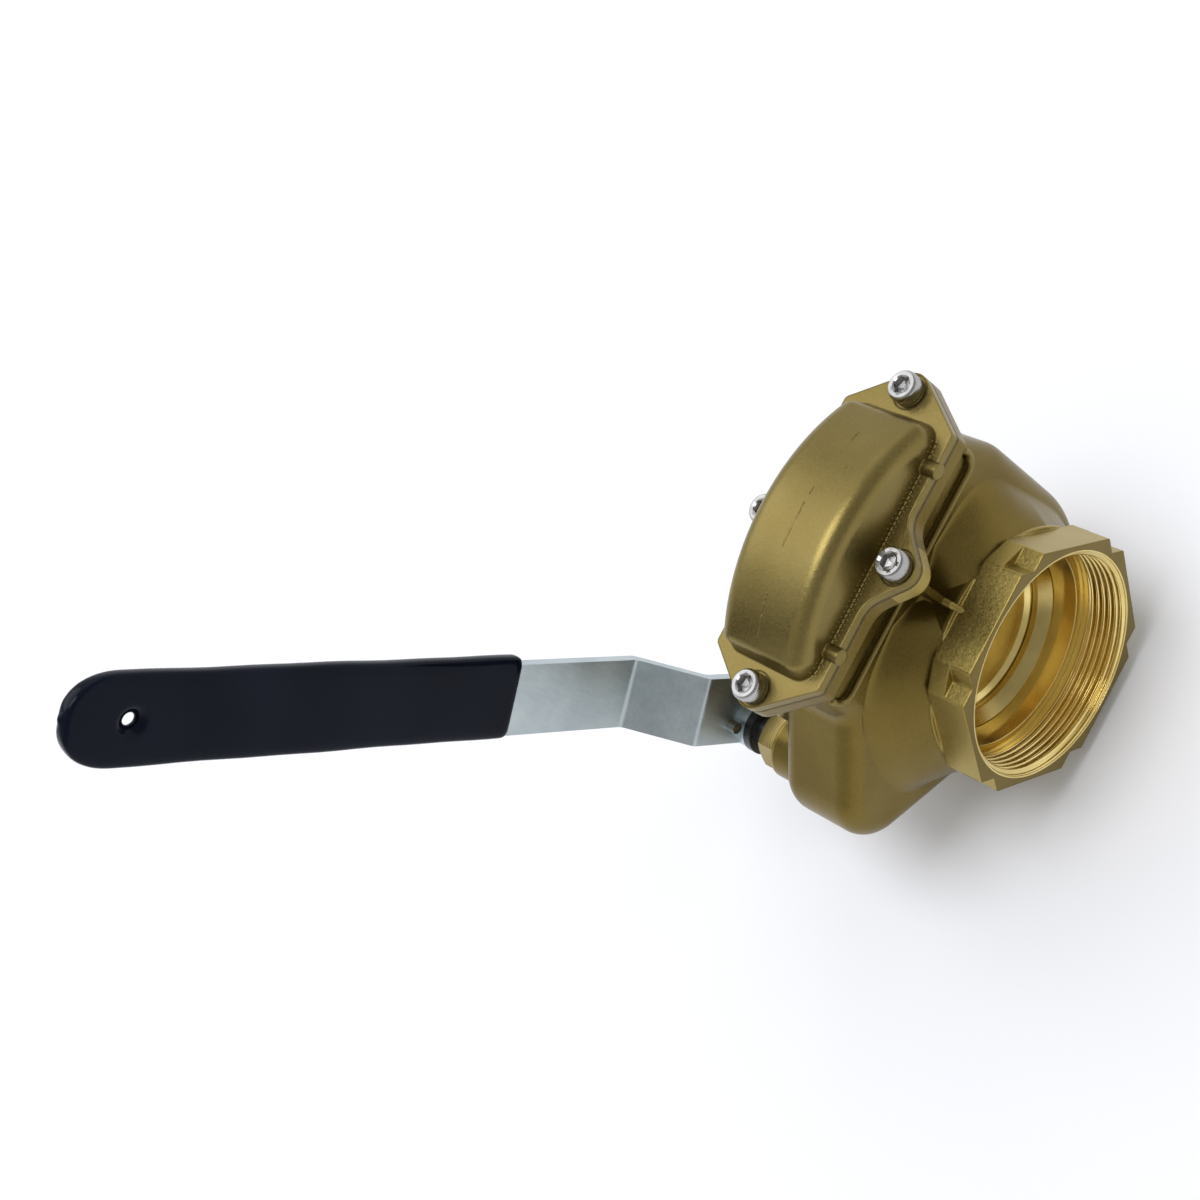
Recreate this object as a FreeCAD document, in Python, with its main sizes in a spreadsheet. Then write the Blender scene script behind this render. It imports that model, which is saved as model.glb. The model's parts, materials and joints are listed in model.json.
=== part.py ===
import FreeCAD, Part
import math
import os
import re
import Sketcher

# Lever operated gate valve, 2 1/2 inch, all lengths in millimetres.
# The pipe runs along Y and the bonnet stands up along +Z, with its long side along X.
# Each piece is drawn about the pipe axis, with Y = 0 in the middle of the casting, or about
# its own axis. Its placement then moves the front port's mouth to the origin.
# A side spindle swings a crank, and the crank's rollers run in slots across the two gate
# discs, so that 60 degrees of lever lift the gate straight up into the bonnet.

os.makedirs("parts", exist_ok=True)
doc = FreeCAD.newDocument("gate_valve")

# Driving dimensions
SIZES = {
    # ports
    "port_reach": 42.0,
    "thread_radius": 37.6,
    "flat_wall": 2.2,
    "flat_half": 16.8,
    "notch_wall": 2.2,
    "notch_depth": 7.7,
    "wrench_depth": 14.2,
    "wrench_corner": 0.8,
    "neck_wall": 3.6,
    "neck_round": 5.0,
    "neck_core": 1.2,
    "thread_depth": 15.0,
    "relief_depth": 2.0,
    "relief_step": 0.4,
    "bore_radius": 34.0,
    # casting
    "casting_half": 15.8,
    "shell": 3.6,
    "side_half": 46.0,
    "belly_half": 51.5,
    "belly_top": 11.0,
    "belly_foot": 32.0,
    "belly_round": 26.0,
    "round_end": 46.5,
    "neck_step": 1.4,
    "shoulder_drop": 19.0,
    "shoulder_side": 42.5,
    "shoulder_round": 5.0,
    "lobe_radius": 15.2,
    "lobe_corner": 8.0,
    "lobe_lean": 42.0,
    "lobe_rise": 4.0,
    "lobe_round": 18.0,
    "edge_round": 7.0,
    "spindle_side": 59.5,
    "spindle_rise": 6.0,
    "gland_boss_radius": 12.0,
    "gland_boss_reach": 27.0,
    "journal_boss_depth": 1.6,
    "journal_boss_wall": 2.4,
    # bonnet joint
    "joint_height": 71.0,
    "seat_flange": 5.0,
    "gasket_thick": 0.8,
    "cover_flange": 3.2,
    "flange_half": 21.2,
    "flange_corner": 42.4,
    "end_screw": 50.2,
    "mid_screw": 25.8,
    "ear_radius": 6.2,
    "ear_flare": 9.0,
    "corner_round": 2.0,
    "rib_thick": 2.4,
    "rib_reach": 24.5,
    "rib_sink": 2.0,
    # bonnet dome
    "dome_radius": 69.0,
    "dome_drop": 45.0,
    "dome_shoulder": 3.0,
    "dome_half_long": 43.5,
    "dome_half": 17.5,
    "dome_wall": 3.3,
    "dome_round": 6.0,
    "dome_end_round": 4.2,
    "lug_radius": 2.5,
    "lug_place": 30.5,
    "lug_reach": 1.6,
    "lug_sink": 0.6,
    # screws
    "screw_radius": 3.0,
    "screw_head_radius": 5.0,
    "screw_head": 6.0,
    "screw_socket": 2.5,
    "screw_play": 0.3,
    "spot_play": 0.7,
    "spot_depth": 0.5,
    # seats and gate
    "seat_radius": 28.5,
    "seat_front": 18.0,
    "seat_face": 11.6,
    "seat_land": 2.0,
    "seat_mouth": 3.0,
    "seat_lip": 0.6,
    "seal_radius": 1.0,
    "seal_depth": 1.5,
    "gate_radius": 31.2,
    "gate_play": 0.2,
    "gate_gap": 10.0,
    "gate_web": 2.4,
    "gate_bevel": 0.6,
    "gate_rim": 3.7,
    "gate_dish": 1.4,
    "gate_boss": 13.0,
    "gate_stub": 4.5,
    "spring_outer": 8.4,
    "spring_sheet": 0.9,
    "spring_play": 0.06,
    # crank
    "crank_length": 60.0,
    "crank_lean": 30.0,
    "crank_width": 8.0,
    "crank_hub": 10.6,
    "crank_hub_width": 20.0,
    "crank_eye": 6.2,
    "crank_pin": 2.2,
    "roller_radius": 3.6,
    "roller_width": 3.0,
    "roller_play": 0.4,
    "slot_play": 0.9,
    "running_play": 0.3,
    # spindle and gland
    "spindle_radius": 6.0,
    "spindle_collar": 8.2,
    "spindle_square": 10.0,
    "journal_radius": 5.0,
    "bush_wall": 1.6,
    "bush_depth": 3.2,
    "gland_bore": 8.6,
    "collar_thick": 2.6,
    "packing_thick": 2.4,
    "washer_ring": 1.5,
    "gland_hex": 19.0,
    "gland_head": 8.0,
    "gland_bevel": 1.0,
    "shaft_play": 0.1,
    # lever
    "ring_face": 40.0,
    "ring_thick": 3.0,
    "ring_radius": 9.2,
    "hub_collar": 8.8,
    "hub_collar_thick": 3.0,
    "strip_width": 24.0,
    "strip_thick": 4.0,
    "strip_offset": 5.0,
    "strip_tail": 11.0,
    "lever_lean": 20.9,
    "bend_start": 28.3,
    "bend_end": 44.3,
    "bend_rise": 19.7,
    "bend_round": 3.0,
    "end_flat": 0.3,
    "strip_end": 247.0,
    "grip_start": 94.4,
    "grip_wall": 1.2,
    "grip_round": 2.0,
    "hang_hole": 4.0,
    "hang_place": 19.0,
    "lever_neck": 4.6,
    "washer_radius": 7.5,
    "washer_thick": 1.5,
    "lever_screw_hex": 10.0,
    "lever_screw_head": 4.0,
    "lever_screw_depth": 12.0,
    "lever_screw_play": 0.5,
    "stop_pin": 2.0,
    "stop_place": 13.0,
    "stop_reach": 3.5,
}

sheet = doc.addObject("Spreadsheet::Sheet", "Sizes")
for row, (word, number) in enumerate(SIZES.items(), start=1):
    sheet.set("A%d" % row, str(number))
    sheet.setAlias("A%d" % row, word)
doc.recompute()


def bound(text):
    """The expression with every driving dimension named by its cell."""
    return re.sub(r"[a-z_]{4,}", lambda m: "Sizes." + m.group() if m.group() in SIZES else m.group(), text)


def value(text):
    """The number that an expression of driving dimensions stands for."""
    return float(sheet.evalExpression(bound(text)))


def link(thing, prop, text):
    """Bind one property to an expression of driving dimensions."""
    thing.setExpression(prop, bound(text))


def new_piece(name, x="0", z="0", lean=None):
    """A named body, moved so that the front port's mouth is the origin, and turned about Y."""
    piece = doc.addObject("PartDesign::Body", name)
    piece.Label = name
    if lean:
        turn = FreeCAD.Rotation(FreeCAD.Vector(0, 1, 0), value(lean))
        piece.Placement = FreeCAD.Placement(FreeCAD.Vector(), turn)
        link(piece, "Placement.Rotation.Angle", lean)
    link(piece, "Placement.Base.x", x)
    link(piece, "Placement.Base.y", "port_reach")
    link(piece, "Placement.Base.z", z)
    return piece


def new_sketch(piece, name, plane, offset="0"):
    """A sketch on one of the piece's own planes, moved along that plane's world axis."""
    sketch = piece.newObject("Sketcher::SketchObject", name)
    origin_plane = next(f for f in piece.Origin.OriginFeatures if f.Role == plane + "_Plane")
    sketch.AttachmentSupport = [(origin_plane, "")]
    sketch.MapMode = "FlatFace"
    sign = "-1" if plane == "XZ" else "1"
    link(sketch, "AttachmentOffset.Base.z", "%s * (%s)" % (sign, offset))
    return sketch


def draw_points(sketch, points):
    """A closed outline through points, each held to the sketch's axes by an expression."""
    spots = [FreeCAD.Vector(value(a), value(b), 0) for a, b in points]
    count = len(spots)
    for i in range(count):
        sketch.addGeometry(Part.LineSegment(spots[i], spots[(i + 1) % count]))
    for i in range(count):
        sketch.addConstraint(Sketcher.Constraint("Coincident", i, 2, (i + 1) % count, 1))
    for i, pair in enumerate(points):
        for kind, place, text in zip(("DistanceX", "DistanceY"), spots[i], pair):
            held = sketch.addConstraint(Sketcher.Constraint(kind, -1, 1, i, 1, place))
            link(sketch, "Constraints[%d]" % held, text)


def draw_circle(sketch, radius, x="0", y="0"):
    """A circle whose radius and centre are held by expressions."""
    centre = FreeCAD.Vector(value(x), value(y), 0)
    shape = Part.Circle(centre, FreeCAD.Vector(0, 0, 1), value(radius))
    edge = sketch.addGeometry(shape)
    held = sketch.addConstraint(Sketcher.Constraint("Radius", edge, value(radius)))
    link(sketch, "Constraints[%d]" % held, radius)
    for kind, place, text in (("DistanceX", centre.x, x), ("DistanceY", centre.y, y)):
        held = sketch.addConstraint(Sketcher.Constraint(kind, -1, 1, edge, 3, place))
        link(sketch, "Constraints[%d]" % held, text)


def draw_edges(sketch, edges):
    """Plain geometry, worked out from the sheet's numbers."""
    for edge in edges:
        sketch.addGeometry(edge)


def rounded(corners):
    """Lines and tangent arcs through corners given as (x, y, radius)."""
    spots = [FreeCAD.Vector(x, y, 0) for x, y, radius in corners]
    edges = []
    ends = []
    for i, (x, y, radius) in enumerate(corners):
        spot = spots[i]
        back = (spots[i - 1] - spot).normalize()
        ahead = (spots[(i + 1) % len(spots)] - spot).normalize()
        if radius == 0:
            ends.append((spot, spot, None))
            continue
        half = back.getAngle(ahead) / 2
        reach = radius / math.tan(half)
        middle = spot + (back + ahead).normalize() * (radius / math.sin(half) - radius)
        ends.append((spot + back * reach, spot + ahead * reach, middle))
    for i, (start, finish, middle) in enumerate(ends):
        if middle is not None:
            edges.append(Part.Arc(start, middle, finish))
        following = ends[(i + 1) % len(ends)][0]
        if finish.distanceToPoint(following) > 1e-6:
            edges.append(Part.LineSegment(finish, following))
    return edges


def slab(piece, kind, name, plane, low, high, draw):
    """A pad or pocket between two places along the axis that its plane faces."""
    sketch = new_sketch(piece, name + "_sketch", plane, "((%s) + (%s)) / 2" % (low, high))
    draw(sketch)
    feature = piece.newObject("PartDesign::" + kind, name)
    feature.Profile = sketch
    feature.SideType = "Symmetric"
    link(feature, "Length", "(%s) - (%s)" % (high, low))
    doc.recompute()
    return feature


def turned(piece, kind, name, points):
    """A revolution or groove about the piece's Y axis, points given as (y, radius)."""
    sketch = new_sketch(piece, name + "_sketch", "YZ")
    draw_points(sketch, points)
    feature = piece.newObject("PartDesign::" + kind, name)
    feature.Profile = sketch
    feature.ReferenceAxis = (sketch, ["H_Axis"])
    feature.Angle = 360
    doc.recompute()
    return feature


def tube_points(low, high, inner, outer):
    """The section of a plain ring."""
    return [(low, inner), (high, inner), (high, outer), (low, outer)]


def edge_names(shape, test):
    """The names of the edges that a test picks."""
    return ["Edge%d" % n for n, edge in enumerate(shape.Edges, start=1) if test(edge)]


def round_edges(piece, name, radius, test):
    """A fillet on the edges that a test picks."""
    base = piece.Tip
    fillet = piece.newObject("PartDesign::Fillet", name)
    fillet.Base = (base, edge_names(base.Shape, test))
    link(fillet, "Radius", radius)
    doc.recompute()
    return fillet


def lies_at(edge, axis, place):
    """True if the whole edge lies in the plane where that axis has that place."""
    box = edge.BoundBox
    low = (box.XMin, box.YMin, box.ZMin)[axis]
    high = (box.XMax, box.YMax, box.ZMax)[axis]
    return abs(low - place) < 1e-4 and abs(high - place) < 1e-4


# Places shared by several pieces
FLANGE_FOOT = "joint_height - seat_flange"
COVER_FOOT = "joint_height + gasket_thick"
COVER_TOP = "(joint_height + gasket_thick + cover_flange)"
SHOULDER = "joint_height - shoulder_drop"
CAVITY_HALF = "(casting_half - shell)"
NECK_RADIUS = "(thread_radius + neck_wall)"
WRENCH_FOOT = "(port_reach - wrench_depth)"
HEX_RISE = math.sqrt(3) / 2


def casting_outline(inset, top):
    """The casting seen along the pipe: a belly, a round end and the spindle's lobe, open to a top."""
    side = value("side_half") - inset
    belly = value("belly_half") - inset
    low = value("round_end") - inset
    lobe = value("lobe_radius") - inset
    spindle = FreeCAD.Vector(-value("spindle_side"), value("spindle_rise"), 0)
    apart = spindle.Length
    along = FreeCAD.Vector(spindle).normalize()
    below = FreeCAD.Vector(-along.y, along.x, 0)
    share = (low - lobe) / apart
    lower_out = along * share + below * math.sqrt(1 - share * share)
    lean = math.radians(value("lobe_lean"))
    upper_out = FreeCAD.Vector(-math.sin(lean), math.cos(lean), 0)

    def crossing(out_a, reach_a, out_b, reach_b):
        spread = out_a.x * out_b.y - out_a.y * out_b.x
        x = (reach_a * out_b.y - reach_b * out_a.y) / spread
        y = (out_a.x * reach_b - out_b.x * reach_a) / spread
        return x, y

    down = FreeCAD.Vector(0, -1, 0)
    left = FreeCAD.Vector(-1, 0, 0)
    upper_reach = upper_out.dot(spindle) + lobe + value("lobe_rise")
    foot = crossing(down, low, lower_out, low)
    tip = crossing(lower_out, low, upper_out, upper_reach)
    neck = crossing(upper_out, upper_reach, left, side)
    belly_top = value("joint_height - belly_top") - inset
    belly_foot = value("joint_height - belly_foot") - inset
    return rounded([
        (side, top, 0),
        (side, belly_top, value("belly_round")),
        (belly, belly_foot, value("belly_round")),
        (belly, -low, low),
        (foot[0], foot[1], low),
        (tip[0], tip[1], value("lobe_round") - inset),
        (neck[0], neck[1], value("lobe_corner") + inset),
        (-side, top, 0),
    ])


def flange_outline():
    """The bonnet joint: a long plate with pointed ends and an ear in the middle of each side."""
    half = value("flange_half")
    corner = value("flange_corner")
    ear = value("ear_radius")
    reach = value("end_screw") - corner
    lean = math.acos(ear / math.hypot(reach, half)) - math.atan2(reach, half)
    point = corner + half / math.tan(lean)
    mid_tip = value("mid_screw") + ear * math.sqrt(2)
    mid_foot = mid_tip - half
    flare = value("ear_flare")
    bend = value("corner_round")
    corners = []
    for side in (1, -1):
        corners.append((side * point, 0, ear))
        corners.append((side * corner, side * half, bend))
        corners.append((side * mid_foot, side * half, flare))
        corners.append((0, side * mid_tip, ear))
        corners.append((-side * mid_foot, side * half, flare))
        corners.append((-side * corner, side * half, bend))
    return rounded(corners)


def wrench_outline(notched):
    """Six flats round the port, their corners cut off straight or notched."""
    flat = value("thread_radius + flat_wall")
    half = value("flat_half")
    notch = value("thread_radius + notch_wall")
    corner = value("wrench_corner")
    corners = []
    for n in range(6):
        turn = math.radians(60 * n + 30)
        for along, out in ((-half, flat), (half, flat)):
            x = out * math.cos(turn) - along * math.sin(turn)
            y = out * math.sin(turn) + along * math.cos(turn)
            corners.append((x, y, corner))
        if notched:
            between = turn + math.radians(30)
            corners.append((notch * math.cos(between), notch * math.sin(between), corner))
    return rounded(corners)


def neck_section():
    """Half the section of both necks, each with a hollow round at its foot on the casting."""
    port = value("port_reach")
    foot = value(WRENCH_FOOT)
    core = value("thread_radius + neck_core")
    neck = value(NECK_RADIUS)
    hollow = value("neck_round")
    wall = value("casting_half")
    inner = value("casting_half - edge_round")
    inner_radius = value("round_end - running_play")
    rear = [
        (port, 0, 0),
        (port, core, 0),
        (foot, core, 0),
        (foot, neck, 0),
        (wall, neck, hollow),
        (wall, neck + hollow + 0.1, 0),
        (inner, inner_radius, 0),
    ]
    front = [(-y, radius, bend) for y, radius, bend in reversed(rear)]
    return rounded(rear + front)


def pulled(near, far, length):
    """The outline round two circles, the first about the origin, the second along +X."""
    lean = math.asin((near - far) / length)
    edges = []
    for side in (1, -1):
        out = FreeCAD.Vector(math.sin(lean), side * math.cos(lean), 0)
        start = out * near
        finish = FreeCAD.Vector(length, 0, 0) + out * far
        edges.append(Part.LineSegment(start, finish) if side > 0 else Part.LineSegment(finish, start))
    far_middle = FreeCAD.Vector(length + far, 0, 0)
    near_middle = FreeCAD.Vector(-near, 0, 0)
    far_arc = Part.Arc(edges[0].EndPoint, far_middle, edges[1].StartPoint)
    near_arc = Part.Arc(edges[1].EndPoint, near_middle, edges[0].StartPoint)
    return [edges[0], far_arc, edges[1], near_arc]


def slot_edges(x, y, half_long, half_high):
    """A slot along X with round ends."""
    flat = half_long - half_high
    top = y + half_high
    low = y - half_high
    right = [FreeCAD.Vector(x + flat, low, 0), FreeCAD.Vector(x + half_long, y, 0), FreeCAD.Vector(x + flat, top, 0)]
    left = [FreeCAD.Vector(x - flat, top, 0), FreeCAD.Vector(x - half_long, y, 0), FreeCAD.Vector(x - flat, low, 0)]
    return [Part.Arc(*right), Part.LineSegment(right[2], left[0]), Part.Arc(*left), Part.LineSegment(left[2], right[0])]


def screw_places():
    """The four cover screws, as pairs of expressions."""
    return [("end_screw", "0"), ("-end_screw", "0"), ("0", "mid_screw"), ("0", "-mid_screw")]


# Valve body: one casting with two wrench ends, the lobe round the spindle and the joint flange
body = new_piece("valve_body")
slab(body, "Pad", "casting", "XZ", "-casting_half", "casting_half",
     lambda s: draw_edges(s, casting_outline(0, value("joint_height - 1"))))
casting_half = value("casting_half")
round_edges(body, "casting_rounds", "edge_round",
            lambda e: lies_at(e, 1, casting_half) or lies_at(e, 1, -casting_half))
for label, low, high in (("front", "-casting_half - 1", "-(casting_half - neck_step)"),
                         ("rear", "casting_half - neck_step", "casting_half + 1")):
    slab(body, "Pocket", label + "_shoulder", "XZ", low, high,
         lambda s: draw_edges(s, rounded([
             (-value("shoulder_side"), value("joint_height"), 0),
             (-value("shoulder_side"), value(SHOULDER), value("shoulder_round")),
             (value("shoulder_side"), value(SHOULDER), value("shoulder_round")),
             (value("shoulder_side"), value("joint_height"), 0),
         ])))
necks_sketch = new_sketch(body, "necks_sketch", "YZ")
draw_edges(necks_sketch, neck_section())
necks = body.newObject("PartDesign::Revolution", "necks")
necks.Profile = necks_sketch
necks.ReferenceAxis = (necks_sketch, ["H_Axis"])
necks.Angle = 360
doc.recompute()
for end, sign in (("rear", ""), ("front", "-")):
    places = [sign + WRENCH_FOOT, sign + "(port_reach - notch_depth)", sign + "port_reach"]
    places.sort(key=value)
    for n in range(2):
        notched = (n == 1) == (end == "rear")
        slab(body, "Pad", "%s_wrench_%d" % (end, n + 1), "XZ", places[n], places[n + 1],
             lambda s: draw_edges(s, wrench_outline(notched)))
slab(body, "Pad", "joint_flange", "XY", FLANGE_FOOT, "joint_height",
     lambda s: draw_edges(s, flange_outline()))
slab(body, "Pad", "gland_boss", "XZ", CAVITY_HALF, "gland_boss_reach",
     lambda s: draw_circle(s, "gland_boss_radius", "-spindle_side", "spindle_rise"))
for side, label in (("-1", "front"), ("1", "rear")):
    slab(body, "Pad", label + "_rib", "YZ", "-rib_thick / 2", "rib_thick / 2",
         lambda s: draw_points(s, [
             (side + " * (casting_half - neck_step - 1)", "joint_height - 1"),
             (side + " * rib_reach", "joint_height - 1"),
             (side + " * rib_reach", NECK_RADIUS + " - rib_sink"),
             (side + " * (casting_half - neck_step - 1)", NECK_RADIUS + " - rib_sink"),
         ]))
slab(body, "Pocket", "cavity", "XZ", "-" + CAVITY_HALF, CAVITY_HALF,
     lambda s: draw_edges(s, casting_outline(value("shell"), value("joint_height") + 1)))
turned(body, "Groove", "waterway", [
    ("-port_reach - 1", "0"),
    ("port_reach + 1", "0"),
    ("port_reach + 1", "thread_radius"),
    ("port_reach - thread_depth", "thread_radius"),
    ("port_reach - thread_depth", "thread_radius + relief_step"),
    ("port_reach - thread_depth - relief_depth", "thread_radius + relief_step"),
    ("port_reach - thread_depth - relief_depth", "bore_radius"),
    ("-(port_reach - thread_depth - relief_depth)", "bore_radius"),
    ("-(port_reach - thread_depth - relief_depth)", "thread_radius + relief_step"),
    ("-(port_reach - thread_depth)", "thread_radius + relief_step"),
    ("-(port_reach - thread_depth)", "thread_radius"),
    ("-port_reach - 1", "thread_radius"),
])
slab(body, "Pad", "journal_boss", "XZ", "-casting_half + 1", "journal_boss_depth - " + CAVITY_HALF,
     lambda s: draw_circle(s, "journal_radius + bush_wall + journal_boss_wall", "-spindle_side", "spindle_rise"))
BUSH_LOW = "(journal_boss_depth - " + CAVITY_HALF + " - bush_depth)"
BUSH_HIGH = "(journal_boss_depth - " + CAVITY_HALF + ")"
slab(body, "Pocket", "bush_seat", "XZ", BUSH_LOW, BUSH_HIGH + " + 0.5",
     lambda s: draw_circle(s, "journal_radius + bush_wall", "-spindle_side", "spindle_rise"))
slab(body, "Pocket", "stuffing_box", "XZ", CAVITY_HALF + " - 1", "gland_boss_reach + 1",
     lambda s: draw_circle(s, "gland_bore", "-spindle_side", "spindle_rise"))


def draw_screw_holes(sketch, radius):
    for x, y in screw_places():
        draw_circle(sketch, radius, x, y)


slab(body, "Pocket", "screw_holes", "XY", FLANGE_FOOT + " - 1", "joint_height + 1",
     lambda s: draw_screw_holes(s, "screw_radius"))

# Gasket between body and bonnet
gasket = new_piece("bonnet_gasket")
slab(gasket, "Pad", "sheet_pad", "XY", "joint_height", COVER_FOOT,
     lambda s: draw_edges(s, flange_outline()))
slab(gasket, "Pocket", "window", "XY", "joint_height - 1", COVER_FOOT + " + 1",
     lambda s: draw_points(s, [
         ("-(side_half - shell)", "-" + CAVITY_HALF),
         ("side_half - shell", "-" + CAVITY_HALF),
         ("side_half - shell", CAVITY_HALF),
         ("-(side_half - shell)", CAVITY_HALF),
     ]))
slab(gasket, "Pocket", "gasket_holes", "XY", "joint_height - 1", COVER_FOOT + " + 1",
     lambda s: draw_screw_holes(s, "screw_radius + screw_play"))


# Bonnet: a flange with a deep arched dome that takes the raised gate
def dome_outline(inset, foot):
    """The dome seen along the pipe: steep ends under one long arc."""
    radius = value("dome_radius") - inset
    centre = value("joint_height - dome_drop")
    half = value("dome_half_long") - inset
    shoulder = half - value("dome_shoulder")
    crown = FreeCAD.Vector(0, centre + radius, 0)
    right = FreeCAD.Vector(shoulder, centre + math.sqrt(radius * radius - shoulder * shoulder), 0)
    left = FreeCAD.Vector(-right.x, right.y, 0)
    right_foot = FreeCAD.Vector(half, foot, 0)
    left_foot = FreeCAD.Vector(-half, foot, 0)
    return [
        Part.Arc(left, crown, right),
        Part.LineSegment(right, right_foot),
        Part.LineSegment(right_foot, left_foot),
        Part.LineSegment(left_foot, left),
    ]


bonnet = new_piece("bonnet")
slab(bonnet, "Pad", "dome", "XZ", "-dome_half", "dome_half",
     lambda s: draw_edges(s, dome_outline(0, value(COVER_FOOT))))
dome_half = value("dome_half")
dome_foot = value(COVER_FOOT)
round_edges(bonnet, "dome_ends", "dome_end_round",
            lambda e: abs(e.BoundBox.YLength - 2 * dome_half) < 1e-4 and e.BoundBox.ZMin > dome_foot + 1)
round_edges(bonnet, "dome_rounds", "dome_round",
            lambda e: (lies_at(e, 1, dome_half) or lies_at(e, 1, -dome_half))
            and not lies_at(e, 2, dome_foot))
slab(bonnet, "Pad", "cover_plate", "XY", COVER_FOOT, COVER_TOP,
     lambda s: draw_edges(s, flange_outline()))
for side in ("-1", "1"):
    slab(bonnet, "Pad", "lug" + ("_left" if side == "-1" else "_right"), "XZ",
         "-(flange_half + lug_reach)", "-(dome_half - 1)",
         lambda s: draw_circle(s, "lug_radius", side + " * lug_place", COVER_TOP + " - lug_sink"))
slab(bonnet, "Pocket", "pocket", "XZ", "-(dome_half - dome_wall)", "dome_half - dome_wall",
     lambda s: draw_edges(s, dome_outline(value("dome_wall"), value(COVER_FOOT) - 1)))
slab(bonnet, "Pocket", "spot_faces", "XY", COVER_TOP + " - spot_depth", COVER_TOP + " + screw_head",
     lambda s: draw_screw_holes(s, "screw_head_radius + spot_play"))
slab(bonnet, "Pocket", "cover_holes", "XY", COVER_FOOT + " - 1", COVER_TOP + " + 1",
     lambda s: draw_screw_holes(s, "screw_radius + screw_play"))

# Four socket screws, one group of separate solids
HEAD_FOOT = "(" + COVER_TOP + " - spot_depth)"


def socket_screw(number, x, y):
    """One screw about its own Z axis, with a hexagon socket."""
    shank = doc.addObject("Part::Cylinder", "screw_shank_%d" % number)
    link(shank, "Radius", "screw_radius")
    link(shank, "Height", HEAD_FOOT + " - (" + FLANGE_FOOT + ")")
    link(shank, "Placement.Base.z", FLANGE_FOOT)
    head = doc.addObject("Part::Cylinder", "screw_head_%d" % number)
    link(head, "Radius", "screw_head_radius")
    link(head, "Height", "screw_head")
    link(head, "Placement.Base.z", HEAD_FOOT)
    whole = doc.addObject("Part::Fuse", "screw_blank_%d" % number)
    whole.Base = shank
    whole.Tool = head
    socket = doc.addObject("Part::Prism", "screw_socket_%d" % number)
    socket.Polygon = 6
    link(socket, "Circumradius", "screw_socket / %f" % HEX_RISE)
    link(socket, "Height", "screw_head")
    link(socket, "Placement.Base.z", HEAD_FOOT + " + screw_head / 2")
    screw = doc.addObject("Part::Cut", "screw_%d" % number)
    screw.Base = whole
    screw.Tool = socket
    link(screw, "Placement.Base.x", x)
    link(screw, "Placement.Base.y", "port_reach + (%s)" % y)
    return screw


screws = doc.addObject("Part::Compound", "bonnet_screws")
screws.Label = "bonnet_screws"
screws.Links = [socket_screw(n, x, y) for n, (x, y) in enumerate(screw_places(), start=1)]
doc.recompute()

# Seat rings and their rubber seals, the rear ones the mirror image of the front ones
SEAL_FOOT = "(seat_face + (seat_front - seat_face) / 2 - seal_radius)"
SEAL_TOP = "(seat_face + (seat_front - seat_face) / 2 + seal_radius)"
for end, sign in (("front", "-1"), ("rear", "1")):
    ring = new_piece("seat_ring_" + end)
    turned(ring, "Revolution", "ring_" + end, [
        (sign + " * seat_face", "seat_radius"),
        (sign + " * (seat_face + seat_land)", "seat_radius"),
        (sign + " * (seat_front - seat_lip)", "seat_radius + seat_mouth"),
        (sign + " * seat_front", "seat_radius + seat_mouth"),
        (sign + " * seat_front", "bore_radius"),
        (sign + " * " + SEAL_TOP, "bore_radius"),
        (sign + " * " + SEAL_TOP, "bore_radius - seal_depth"),
        (sign + " * " + SEAL_FOOT, "bore_radius - seal_depth"),
        (sign + " * " + SEAL_FOOT, "bore_radius"),
        (sign + " * seat_face", "bore_radius"),
    ])
    seal = new_piece("seat_seal_" + end)
    turned(seal, "Revolution", "seal_" + end, tube_points(
        sign + " * " + SEAL_FOOT, sign + " * " + SEAL_TOP, "bore_radius - seal_depth", "bore_radius"))

# Gate: two discs pushed apart by coned springs, with a slot across each inner face
SLOT_DROP = "(crank_length * sin(crank_lean * 1deg) - spindle_rise)"
GATE_FACE = "(seat_face - gate_play)"
for end, sign in (("front", "-1"), ("rear", "1")):
    disc = new_piece("gate_disc_" + end)
    turned(disc, "Revolution", "disc_" + end, [
        (sign + " * gate_web / 2", "0"),
        (sign + " * " + GATE_FACE, "0"),
        (sign + " * " + GATE_FACE, "gate_boss"),
        (sign + " * (" + GATE_FACE + " - gate_dish)", "gate_boss + gate_dish"),
        (sign + " * (" + GATE_FACE + " - gate_dish)", "gate_radius - gate_rim - gate_dish"),
        (sign + " * " + GATE_FACE, "gate_radius - gate_rim"),
        (sign + " * " + GATE_FACE, "gate_radius - gate_bevel"),
        (sign + " * (" + GATE_FACE + " - gate_bevel)", "gate_radius"),
        (sign + " * gate_gap / 2", "gate_radius"),
        (sign + " * gate_gap / 2", "gate_stub"),
        (sign + " * gate_web / 2", "gate_stub"),
    ])
    reach = value("crank_length")
    lean = math.radians(value("crank_lean"))
    near = -value("spindle_side") + reach * math.cos(lean)
    far = -value("spindle_side") + reach
    slot_half = value("roller_radius") + value("slot_play")
    ends = sorted((sign + " * (gate_gap / 2 - 1)", sign + " * (gate_gap / 2 + roller_width)"), key=value)
    slab(disc, "Pocket", "slot_" + end, "XZ", ends[0], ends[1],
         lambda s: draw_edges(s, slot_edges((near + far) / 2, -value(SLOT_DROP),
                                            (far - near) / 2 + slot_half, slot_half)))

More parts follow.
